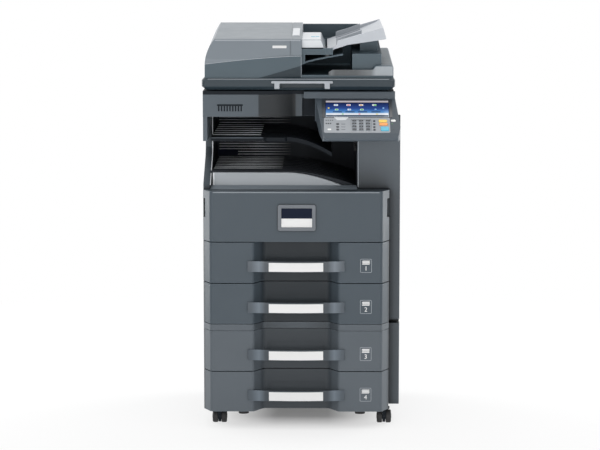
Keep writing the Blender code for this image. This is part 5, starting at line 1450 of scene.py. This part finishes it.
        # A lighter plate paints light onto the sill under the console.
        plates("sill_painted_light", [rectangle(*self.sill)], SKIN, slope, PAINTED_LIT_LEDGE)
        x = self.tower_x - self.roller_inset
        places = [tilted(pi / 2, x, y, z) for y in self.roller_y for z in self.roller_z]
        roller = disc(self.roller_radius, 14)
        rows("exit_rollers", roller, self.roller_half, places, RUBBER, low=-self.roller_half)

    def build(self) -> None:
        """Make the black sheets of painted shade, the painted highlights on the edges and the ribs, and the
        fittings.
        """
        self.shade_sheets()
        self.edges()
        self.ribs()
        self.fittings()


# Scanner

@dataclass
class ScannerTrim:
    """Grille with painted shade in its slots, painted shade in the recess beside the console, and the scale
    along the glass.
    """

    slots: int = 9
    slot_pitch: float = 0.0083
    slot_width: float = 0.0045
    slot_start: float = 0.045
    slot_depth: float = 0.006
    slot_floor: float = 0.957
    slot_top: float = 0.0199
    slot_gap: float = 0.0001
    slot_fill: float = 0.0045
    rail_rise: float = 0.0185
    rail_extra: float = 0.006
    rail_height: float = 0.0052
    rail_thick: float = 0.0009
    recess_y: float = -0.1581
    recess_box: Box = (0.0015, 0.9415, 0.0635, 0.9950)
    recess_thick: float = 0.0006
    scale_drop: Point = (0.0125, 0.0015)
    scale_thick: float = 0.00012
    ticks: int = 22
    tick_start: float = 0.0100
    tick_pitch: float = 0.0195
    tick_width: float = 0.0008
    tick_drop: float = 0.0020
    tick_thick: float = 0.00022
    long_every: int = 5
    long_tick: float = 0.0070
    short_tick: float = 0.0040

    def grille(self) -> None:
        """Paint shade into the grille's slots with black sheets, and set its top rail."""
        low, _high = corners("scanner_housing")
        start, gap = low.x + self.slot_start, self.slot_gap
        base = self.slot_floor
        top = base + self.slot_top
        slots = []
        for index in range(self.slots):
            x = start + self.slot_pitch * index
            slots.append(rectangle(x + gap, base + gap, x + self.slot_width - gap, top))
        deep = upright(Side.FRONT, y=low.y + self.slot_depth - gap)
        plates("grille_slot_shade", slots, self.slot_fill, deep, BLACK)
        end = start + self.slot_pitch * (self.slots - 1) + self.slot_width
        rail = rounded_box(end - start + self.rail_extra, self.rail_height, SMALL_CORNER)
        rail = shifted(rail, (start + end) / 2, base + self.rail_rise)
        plates("grille_rail", [rail], self.rail_thick, upright(Side.FRONT, y=low.y), BLACK, rim=FINE_RIM)

    def recess(self) -> None:
        """Paint shade into the recess beside the console with a black sheet."""
        face = upright(Side.FRONT, y=self.recess_y)
        plates("recess_shade", [rectangle(*self.recess_box)], self.recess_thick, face, BLACK)

    def scale(self) -> None:
        """Lay a bare scale with plain ticks along the front of the glass."""
        low, high = corners("platen_glass")
        near, far = (low.y - drop for drop in self.scale_drop)
        scale = rectangle(low.x, near, high.x, far)
        plates("platen_scale", [scale], self.scale_thick, flat(z=high.z), WHITE_PLATE)
        top = low.y - self.tick_drop
        ticks = []
        for index in range(self.ticks):
            x = low.x + self.tick_start + self.tick_pitch * index
            reach = self.short_tick if index % self.long_every else self.long_tick
            ticks.append(rectangle(x, top - reach, x + self.tick_width, top))
        plates("platen_ticks", ticks, self.tick_thick, flat(z=high.z), KEY_DARK)

    def build(self) -> None:
        """Make the scanner's trim."""
        self.grille()
        self.recess()
        self.scale()


# Document feeder

@dataclass
class FeederTrim:
    """Labels, plates, marks, painted highlights and painted shade on the document feeder."""

    top_body: str = "feeder_top"
    lid_body: str = "lid"
    front_y: float = -0.194
    lid_top: float = 1.055
    cover_slope: float = 0.351
    cover_foot: float = 1.111
    cover_pitch: float = 4.0
    cover_top: float = 1.168
    label_spot: Point = (-0.0654, 1.1462)
    label_size: Point = (0.0415, 0.0078)
    label_thick: float = 0.0007
    label_rim: float = 0.0002
    crest_z: float = 1.1645
    crest_x: Point = (-0.2560, -0.0040)
    cover_seam: Box = (-0.0342, -0.0440, -0.0332, 0.0)
    tray_pitch: float = 1.5
    flap_top: float = 1.166
    flap_low: float = 1.142
    flap_back: float = 0.027
    flap_plate: Box = (0.0285, 0.1850, 0.0555, 0.3130)
    flap_margin: float = 0.0010
    flap_front: tuple[float, float, float] = (0.0010, 0.0650, 0.0570)
    sheet_x: Point = (0.0330, 0.0460)
    sheet_y: float = 0.1500
    sheet_size: Point = (0.0110, 0.0300)
    sheet_thick: float = 0.0003
    latch: Box = (-0.0175, 0.1900, 0.0210, 0.1900)
    latch_corner: float = 0.009
    latch_thick: float = 0.0032
    latch_rim: float = 0.0012
    seam: tuple[float, float, float] = (-0.286, 1.097, 1.121)
    seam_steps: int = 12
    seam_end: float = -0.0010
    seam_power: float = 1.5
    highlight_drop: Point = (0.0004, 0.0018)
    highlight_inset: float = 0.0005
    highlight_thick: float = 0.0010
    lean_run: float = 0.0079
    lean_rise: float = 0.0364
    edge_x: Point = (-0.0020, -0.0004)
    edge_foot: float = 0.0006
    edge_upper: Point = (0.0368, 0.0030)
    edge_lower: Point = (0.0005, 0.0370)
    edge_thick: float = 0.0005
    crown_inset: float = 0.003
    crown_end: float = 0.018
    strip_half: float = 0.0011
    facet_left: float = -0.1270
    facet_rise: float = 0.0367
    facet_gap: float = 0.0003
    facet_half: float = 0.0004
    rim_inset: float = 0.0082
    rim_thick: float = 0.0012
    rim: tuple[Point, ...] = (
        (0.0800, 0.0070), (0.2690, 0.0070), (0.2690, 0.0340), (0.2200, 0.0340), (0.2110, 0.0240),
        (0.0920, 0.0240), (0.0800, 0.0180),
    )
    tray_start: float = 0.076
    tray_curve: tuple[float, float, float] = (0.0845, 0.28, 0.48)
    tick_x: float = 0.1960
    tick_half: Point = (0.0090, 0.0007)
    tick_sink: float = 0.0002
    tick_rows: tuple[float, ...] = (-0.090, -0.060, -0.030, 0.120, 0.150, 0.180)

    def on_cover(self, x: float, z: float) -> Matrix:
        """Place a piece on the cover's sloping front."""
        y = self.front_y + (z - self.cover_foot) * self.cover_slope
        return tilted(pi / 2 - atan(self.cover_slope), x, y, z)

    def cover(self) -> None:
        """Stick a bare label on the cover's sloping front, paint a highlight along its crest and mark its
        seam.
        """
        label = rounded_box(*self.label_size, FINE_CORNER)
        spot = self.on_cover(*self.label_spot)
        plates("feeder_label", [label], self.label_thick, spot, WHITE_PLATE, self.top_body, self.label_rim)
        slope = self.on_cover(0.0, self.crest_z)
        left, right = self.crest_x
        crest = rectangle(left, -self.strip_half, right, self.strip_half)
        plates("cover_crest_highlight", [crest], STRIP, slope, PALE, self.top_body)
        plates("cover_seam", [rectangle(*self.cover_seam)], STRIP, slope, KEY_DARK, self.top_body)

    def seam_highlight(self) -> None:
        """Paint a highlight along the seam under the top cover with a light strip."""
        start, low, high = self.seam
        upper, lower = [], []
        for index in range(self.seam_steps + 1):
            share = index / self.seam_steps
            x = start * (1 - share) + self.seam_end * share
            z = low + (high - low) * (1 - (1 - share) ** self.seam_power)
            upper.append((x, z - self.highlight_drop[0]))
            lower.append((x, z - self.highlight_drop[1]))
        place = upright(Side.FRONT, y=self.front_y + self.highlight_inset)
        plates("feeder_seam_highlight", [upper + lower[::-1]], self.highlight_thick, place, PALE, self.lid_body)

    def edges(self) -> None:
        """Paint highlights along the right edge of the roller housing and the lid's front edge."""
        foot = self.lid_top + self.edge_foot
        left, right = self.edge_x
        face = upright(Side.FRONT, y=self.front_y)
        lean = tilted(pi / 2 + atan(self.lean_run / self.lean_rise), y=self.front_y + self.lean_run, z=foot)
        mesh = bmesh.new()
        rise, drop = self.edge_upper
        upper = rectangle(left, foot + rise, right, self.seam[2] - drop)
        add_plate(mesh, upper, 0.0, self.edge_thick, face)
        start, end = self.edge_lower
        add_plate(mesh, rectangle(left, start, right, end), 0.0, SKIN, lean)
        make("housing_edge_highlight", mesh, EDGE_HIGHLIGHT, self.lid_body)
        near, far = corners("lid_base")
        crown = tilted(pi / 4, y=near.y + self.crown_inset, z=far.z - self.crown_inset)
        strip = rectangle(near.x + self.crown_end, -self.strip_half, far.x - self.crown_end, self.strip_half)
        plates("lid_edge_highlight", [strip], STRIP, crown, EDGE_HIGHLIGHT, self.lid_body)

    def flap(self) -> None:
        """Face the flap's top and front with pale plates, and set the latch beside it."""
        pitch = radians(self.tray_pitch)
        top = tilted(pitch, y=self.front_y, z=self.flap_top)
        back = rounded_at(*self.flap_plate, ROUND_CORNER)
        plates("flap_top_plate", [back], SKIN, top, PALE_PLATE, self.top_body, FINE_RIM)
        low, high = self.flap_low + self.flap_margin, self.flap_top - self.flap_margin
        left, foot, head = self.flap_front
        front = [(left, low), (foot, low), (head, high), (left, high)]
        face = upright(Side.FRONT, y=self.front_y + self.flap_back, z=self.flap_back * sin(pitch))
        plates("flap_front_plate", [front], SKIN, face, PALE_PLATE, self.top_body, FINE_RIM)
        sheets = [rounded_at(x, self.sheet_y, *self.sheet_size, FINE_CORNER) for x in self.sheet_x]
        plates("flap_sheet_mark", sheets, self.sheet_thick, top @ flat(z=SKIN), KEY_CYAN, self.top_body)
        x, y, width, length = self.latch
        latch = shifted(rounded_box(width, length, self.latch_corner, 6), x, y)
        crown = tilted(radians(self.cover_pitch), y=self.front_y, z=self.cover_top)
        plates("feeder_latch", [latch], self.latch_thick, crown, PALE_PLATE, self.top_body, self.latch_rim)

    def facings(self) -> None:
        """Paint shade onto the slanted lower corner of the roller housing with a dark plate, and face the
        raised end's front with a plate that carries painted shade.
        """
        gap = self.facet_gap
        foot = self.lid_top + gap
        corner = [
            Vector((self.facet_left, self.front_y, foot + gap)),
            Vector((-gap, self.front_y, foot + self.facet_rise)),
            Vector((-gap, self.front_y + self.lean_run, foot + gap)),
        ]
        out = (corner[2] - corner[0]).cross(corner[1] - corner[0]).normalized()
        out *= self.facet_half if out.y < 0 else -self.facet_half
        mesh = bmesh.new()
        skin(mesh, [[point - out for point in corner], [point + out for point in corner]])
        make("housing_facet_shade", mesh, LID_SLATE, self.lid_body)
        front = upright(Side.FRONT, y=self.front_y + self.rim_inset)
        rim = shifted(self.rim, 0.0, foot)
        plates("rim_facing", [rim], self.rim_thick, front, RIM_SILVER, self.lid_body)

    def tray_marks(self) -> None:
        """Print plain size ticks across the document tray, on its rising curve."""
        run = self.tick_x - self.tray_start
        base, slope, bend = self.tray_curve
        rise = Matrix.Rotation(-atan(slope + 2 * bend * run), 4, "Y")
        height = self.lid_top + base + slope * run + bend * run * run
        places = []
        for y in self.tick_rows:
            level = height + (y - self.front_y) * sin(radians(self.tray_pitch))
            places.append(flat(self.tick_x, y, level) @ rise)
        half, line = self.tick_half
        tick = rectangle(-half, -line, half, line)
        rows("tray_ticks", tick, STRIP, places, PALE_PLATE, "document_tray", low=-self.tick_sink)

    def build(self) -> None:
        """Make the feeder's trim."""
        self.cover()
        self.seam_highlight()
        self.edges()
        self.flap()
        self.facings()
        self.tray_marks()


# Rear, sides and base

@dataclass
class Vents:
    """Painted shade: black sheets in the depths of the vents in the rear cover and the left cover."""

    pitch: float = 0.013
    slot: float = 0.0055
    width: float = 0.140
    thick: float = 0.0015
    rear_columns: Point = (0.100, -0.185)
    rear_base: float = 0.622
    rear_rows: int = 9
    rear_depth: float = 0.0091
    left_column: float = -0.2967
    left_base: float = 0.339
    left_rows: int = 10
    left_depth: float = 0.0101

    def column(self, left: float, base: float, count: int) -> list[list[Point]]:
        """Outline a column of slots, upwards from a base."""
        levels = [base + self.pitch * row for row in range(count)]
        return [rectangle(left, low, left + self.width, low + self.slot) for low in levels]

    def build(self) -> None:
        """Paint shade into the slots of both covers with black sheets."""
        _low, high = corners("rear_cover")
        rear = []
        for left in self.rear_columns:
            rear += self.column(left, self.rear_base, self.rear_rows)
        plates("rear_vent_shade", rear, self.thick, upright(Side.REAR, y=high.y - self.rear_depth), BLACK)
        low, _high = corners("left_cover")
        side = self.column(self.left_column, self.left_base, self.left_rows)
        plates("left_vent_shade", side, self.thick, upright(Side.LEFT, low.x + self.left_depth), BLACK)


@dataclass
class RearTrim:
    """Screws, power inlet and sockets of the rear cover, placed as seen from behind."""

    screw_radius: float = 0.0042
    screw_columns: Point = (0.272, -0.272)
    screw_rows: tuple[float, ...] = (0.085, 0.320, 0.560, 0.900)
    screw_thick: float = 0.0011
    screw_rim: float = 0.0005
    slot_half: Point = (0.0024, 0.0004)
    slot_thick: float = 0.0012
    inlet_depth: float = 0.0091
    inlet_floor: Box = (0.2105, 0.0825, 0.2395, 0.1055)
    inlet_pins: tuple[Point, ...] = ((0.2180, 0.0920), (0.2250, 0.0970), (0.2320, 0.0920))
    floor_thick: float = 0.0010
    pin_half: Point = (0.0010, 0.0032)
    pin_length: float = 0.0070
    socket_middle: Point = (-0.190, 0.480)
    socket_panel: Point = (0.110, 0.046)
    socket_frame: Point = (0.0180, 0.0160)
    socket_hole: Point = (0.0130, 0.0100)
    socket_levels: tuple[float, float, float] = (0.0012, 0.0022, 0.0024)
    socket_columns: tuple[float, ...] = (-0.222, -0.190, -0.158)

    def screws(self) -> None:
        """Set cross-head screws around the rear cover."""
        _low, high = corners("rear_cover")
        spots = [(u, v) for u in self.screw_columns for v in self.screw_rows]
        long, short = self.slot_half
        place = upright(Side.REAR, y=high.y)
        heads = [shifted(disc(self.screw_radius), *spot) for spot in spots]
        plates("rear_screws", heads, self.screw_thick, place, STEEL, rim=self.screw_rim)
        for name, (half, rise) in (("crosses", (long, short)), ("bars", (short, long))):
            slots = [shifted(rectangle(-half, -rise, half, rise), *spot) for spot in spots]
            plates(f"rear_screw_{name}", slots, self.slot_thick, place, KEY_DARK)

    def sockets(self) -> None:
        """Fit the power inlet and a row of sockets."""
        _low, high = corners("rear_cover")
        deep = upright(Side.REAR, y=high.y - self.inlet_depth)
        plates("inlet_floor", [rectangle(*self.inlet_floor)], self.floor_thick, deep, BLACK)
        half, rise = self.pin_half
        pins = [shifted(rectangle(-half, -rise, half, rise), *spot) for spot in self.inlet_pins]
        plates("inlet_pins", pins, self.pin_length, deep, STEEL, rim=FINE_RIM)
        face = upright(Side.REAR, y=high.y)
        panel_top, frame_top, hole_top = self.socket_levels
        panel = rounded_at(*self.socket_middle, *self.socket_panel, ROUND_CORNER)
        plates("socket_plate", [panel], panel_top, face, BLACK, rim=SOFT_RIM)
        level = self.socket_middle[1]
        frames = [rounded_at(u, level, *self.socket_frame, SMALL_CORNER) for u in self.socket_columns]
        plates("socket_frames", frames, frame_top, face, STEEL, rim=SOFT_RIM)
        holes = [rounded_at(u, level, *self.socket_hole, FINE_CORNER) for u in self.socket_columns]
        plates("socket_holes", holes, hole_top, face, KEY_DARK)

    def build(self) -> None:
        """Make the rear cover's trim."""
        self.screws()
        self.sockets()


@dataclass
class SideTrim:
    """Painted shade in the depths of the side doors' grips, the sill between them and marks on the bypass
    tray.
    """

    grip_depth: float = 0.0141
    grips: tuple[tuple[str, str, Box], ...] = (
        ("right_cover", "right_door", (-0.0910, 0.6890, -0.0690, 0.7690)),
        ("feeder_right_cover", "feeder_door", (-0.1060, 0.1900, -0.0840, 0.2700)),
    )
    mark_half: float = 0.060
    mark_pitch: float = 0.014
    mark_count: int = 4
    mark_rise: Point = (0.040, 0.0412)
    sill_drop: float = 0.0072
    sill_thick: float = 0.0064
    sill_inset: tuple[float, float, float] = (0.0005, 0.0008, 0.0010)

    def build(self) -> None:
        """Make the painted shade in the grips' depths, the sill and the marks."""
        for node, body, spot in self.grips:
            _low, high = corners(node)
            face = upright(Side.RIGHT, high.x - self.grip_depth)
            # A black sheet paints shade into the grip's depth.
            plates(f"{body}_grip_depth", [rectangle(*spot)], SKIN, face, BLACK, body)
        low, high = corners("right_cover")
        inner, outer, end = self.sill_inset
        sill = rectangle(low.x + inner, low.y + end, high.x - outer, high.y - end)
        plates("door_sill", [sill], self.sill_thick, flat(z=low.z - self.sill_drop), SLATE, rim=SOFT_RIM)
        low, high = corners("bypass_tray")
        face = upright(Side.RIGHT, high.x, (low.y + high.y) / 2, low.z)
        base, top = self.mark_rise
        mark = rectangle(-self.mark_half, base, self.mark_half, top)
        marks = [shifted(mark, 0.0, self.mark_pitch * row) for row in range(self.mark_count)]
        plates("bypass_marks", marks, STRIP, face, PALE, "bypass_tray")


@dataclass
class Undercarriage:
    """Caps and webs of the casters, and pads under the levelling feet."""

    ends: tuple[str, ...] = ("front_left", "front_right", "rear_left", "rear_right")
    cap_radius: float = 0.0078
    cap_thick: float = 0.0009
    web_radius: float = 0.0182
    web_bore: float = 0.0070
    web_half: float = 0.0042
    foot_x: float = 0.177
    foot_y: float = -0.109
    pad_radius: float = 0.0155
    pad_thick: float = 0.0115
    pad_drop: float = 0.0113

    def casters(self) -> None:
        """Cap the casters' hubs and fill the gap between their wheels."""
        for end in self.ends:
            low, high = corners(f"caster_wheels_{end}")
            x, y, z = (low + high) / 2
            sides = [upright(Side.LEFT, low.x, y, z), upright(Side.RIGHT, high.x, y, z)]
            cap = disc(self.cap_radius)
            rows(f"caster_caps_{end}", cap, self.cap_thick, sides, SLATE, f"wheels_{end}", rim=SOFT_RIM)
            web = [disc(self.web_radius, 28), disc(self.web_bore)]
            place = upright(Side.RIGHT, x - self.web_half, y, z)
            pierced(f"caster_web_{end}", web, 2 * self.web_half, place, BLACK, f"caster_{end}")

    def feet(self) -> None:
        """Pad the levelling feet."""
        low, _high = corners("feeder_cabinet")
        pads = [shifted(disc(self.pad_radius, 24), x, self.foot_y) for x in (-self.foot_x, self.foot_x)]
        plates("foot_pads", pads, self.pad_thick, flat(z=low.z - self.pad_drop), RUBBER)

    def build(self) -> None:
        """Make the casters' and the feet's details."""
        self.casters()
        self.feet()


@dataclass
class Toner:
    """Collar and coloured cap of the toner container."""

    cap_radius: float = 0.0185
    cap_thick: float = 0.0010
    collar_radius: float = 0.0400
    collar_bore: float = 0.0330
    collar_back: float = 0.0140
    collar_thick: float = 0.0005

    def build(self) -> None:
        """Make the cap and the collar."""
        low, high = corners("toner_container")
        x, z = (low.x + high.x) / 2, (low.z + high.z) / 2
        cap = upright(Side.FRONT, x, low.y, z)
        plates("toner_cap", [disc(self.cap_radius, 28)], self.cap_thick, cap, KEY_CYAN, rim=SOFT_RIM)
        ring = [disc(self.collar_radius, 32), disc(self.collar_bore, 32)]
        place = upright(Side.FRONT, x, low.y + self.collar_back, z)
        pierced("toner_collar", ring, self.collar_thick, place, PALE)


# Studio

@dataclass
class Studio:
    """Pale floor, soft light and the camera."""

    eye: tuple[float, float, float] = (0.060, -6.700, 1.462)
    pitch: float = 7.39
    yaw: float = -0.57
    lens: float = 132.3
    view_end: float = 1000.0
    aim: tuple[float, float, float] = (0.0, 0.05, 0.75)
    sky: float = 0.65
    floor_size: float = 500.0
    floor_rgb: Colour = (0.86, 0.86, 0.86)
    fade_start: float = 0.8
    fade: float = 1.6
    near_white: float = 0.75
    shadow_x: Point = (-0.28, 0.28)
    shadow_y: Point = (-0.22, 0.34)
    shadow_share: float = 0.62
    shadow_edge: float = 5.0
    soft_boxes: tuple[tuple[str, tuple[float, float, float], Point, float], ...] = (
        ("left_rim_box", (-2.8, 1.7, 1.2), (2.2, 2.6), 84.0),
        ("right_rim_box", (2.8, 1.7, 1.2), (2.2, 2.6), 84.0),
        ("top_box", (0.0, 0.2, 3.4), (2.6, 2.6), 28.0),
        ("front_left_box", (-2.8, -4.4, 1.2), (1.6, 2.0), 5.0),
        ("front_right_box", (2.8, -4.4, 1.2), (1.6, 2.0), 5.0),
        ("left_strip", (-1.65, -4.4, 0.7), (0.40, 1.8), 28.0),
        ("right_strip", (1.51, -4.4, 0.7), (0.40, 1.8), 28.0),
        ("low_box", (0.0, -3.2, 0.35), (2.6, 0.5), 14.0),
    )

    def camera(self) -> None:
        """Set the camera at the photograph's place."""
        data = bpy.data.cameras.new("camera")
        data.lens = self.lens
        data.clip_end = self.view_end
        item = bpy.data.objects.new("camera", data)
        item.location = self.eye
        item.rotation_euler = (radians(90.0 - self.pitch), 0.0, radians(-self.yaw))
        bpy.context.scene.collection.objects.link(item)
        bpy.context.scene.camera = item

    @staticmethod
    def seen(graph: Graph) -> Value:
        """Mark what the eye sees, straight, mirrored or through glass.

        Args:
            graph: the material's or the world's graph.

        Returns:
            One on a ray to the eye, and nought on others.
        """
        straight, mirrored, through = (
            graph.node("ShaderNodeLightPath", {}, {}, f"Is {kind} Ray")
            for kind in ("Camera", "Glossy", "Transmission")
        )
        return (straight + mirrored + through).clipped()

    def within(self, place: Value, span: Point) -> Value:
        """Give one inside a span of the floor, falling to nought at its ends."""
        start, end = span
        return ((place - start) * self.shadow_edge).clipped() * ((end - place) * self.shadow_edge).clipped()

    def floor(self) -> None:
        """Lay the pale floor, white where it is seen apart from the shadow on it."""
        mesh = bmesh.new()
        bmesh.ops.create_grid(mesh, x_segments=1, y_segments=1, size=self.floor_size / 2)
        data = bpy.data.meshes.new("floor")
        mesh.to_mesh(data)
        mesh.free()
        graph = Graph.material("studio_floor")
        pale = graph.node("ShaderNodeBsdfDiffuse", {}, {"Color": opaque(self.floor_rgb)})
        white = graph.node("ShaderNodeEmission", {}, {"Color": opaque(WHITE), "Strength": 1.0})
        away = graph.node("ShaderNodeVectorMath", {"operation": "LENGTH"}, {0: graph.place()}, "Value")
        far = ((away - self.fade_start) * (1.0 / self.fade)).clipped()
        shadow = self.within(graph.axis("X"), self.shadow_x) * self.within(graph.axis("Y"), self.shadow_y)
        lit = far * (1.0 - self.near_white) + self.near_white - shadow * self.shadow_share
        both = graph.node("ShaderNodeMixShader", {}, {0: self.seen(graph) * lit, 1: pale, 2: white})
        graph.node("ShaderNodeOutputMaterial", {}, {"Surface": both})
        data.materials.append(graph.owner)
        item = bpy.data.objects.new("floor", data)
        bpy.context.scene.collection.objects.link(item)

    def world(self) -> None:
        """Light softly from all round, and show plain white behind."""
        graph = Graph(bpy.data.worlds.new("studio"))
        strength = self.seen(graph) * (1.0 - self.sky) + self.sky
        back = graph.node("ShaderNodeBackground", {}, {"Color": opaque(WHITE), "Strength": strength})
        graph.node("ShaderNodeOutputWorld", {}, {"Surface": back})
        bpy.context.scene.world = graph.owner

    def lamps(self) -> None:
        """Hang the soft boxes, each turned towards the machine's middle."""
        for name, place, (width, height), watts in self.soft_boxes:
            data = bpy.data.lights.new(name, "AREA")
            data.shape = "RECTANGLE"
            data.size = width
            data.size_y = height
            data.energy = watts
            item = bpy.data.objects.new(name, data)
            item.location = place
            item.rotation_euler = (Vector(self.aim) - Vector(place)).to_track_quat("-Z", "Y").to_euler()
            bpy.context.scene.collection.objects.link(item)

    def build(self) -> None:
        """Set up the studio."""
        self.camera()
        self.floor()
        self.world()
        self.lamps()


def main() -> None:
    """Dress the frame, add the trim and set up the studio."""
    logging.basicConfig(level=logging.INFO, format="%(name)s: %(message)s")
    assemblies = (
        Casing(), DrawerStack(), FrontCover(), Console(), OutputSpace(), ScannerTrim(), FeederTrim(),
        Vents(), RearTrim(), SideTrim(), Undercarriage(), Toner(), Studio(),
    )
    for assembly in assemblies:
        assembly.build()
        LOG.info("built %s", type(assembly).__name__)
    bpy.context.scene.view_settings.view_transform = "Standard"


if __name__ == "__main__":
    main()
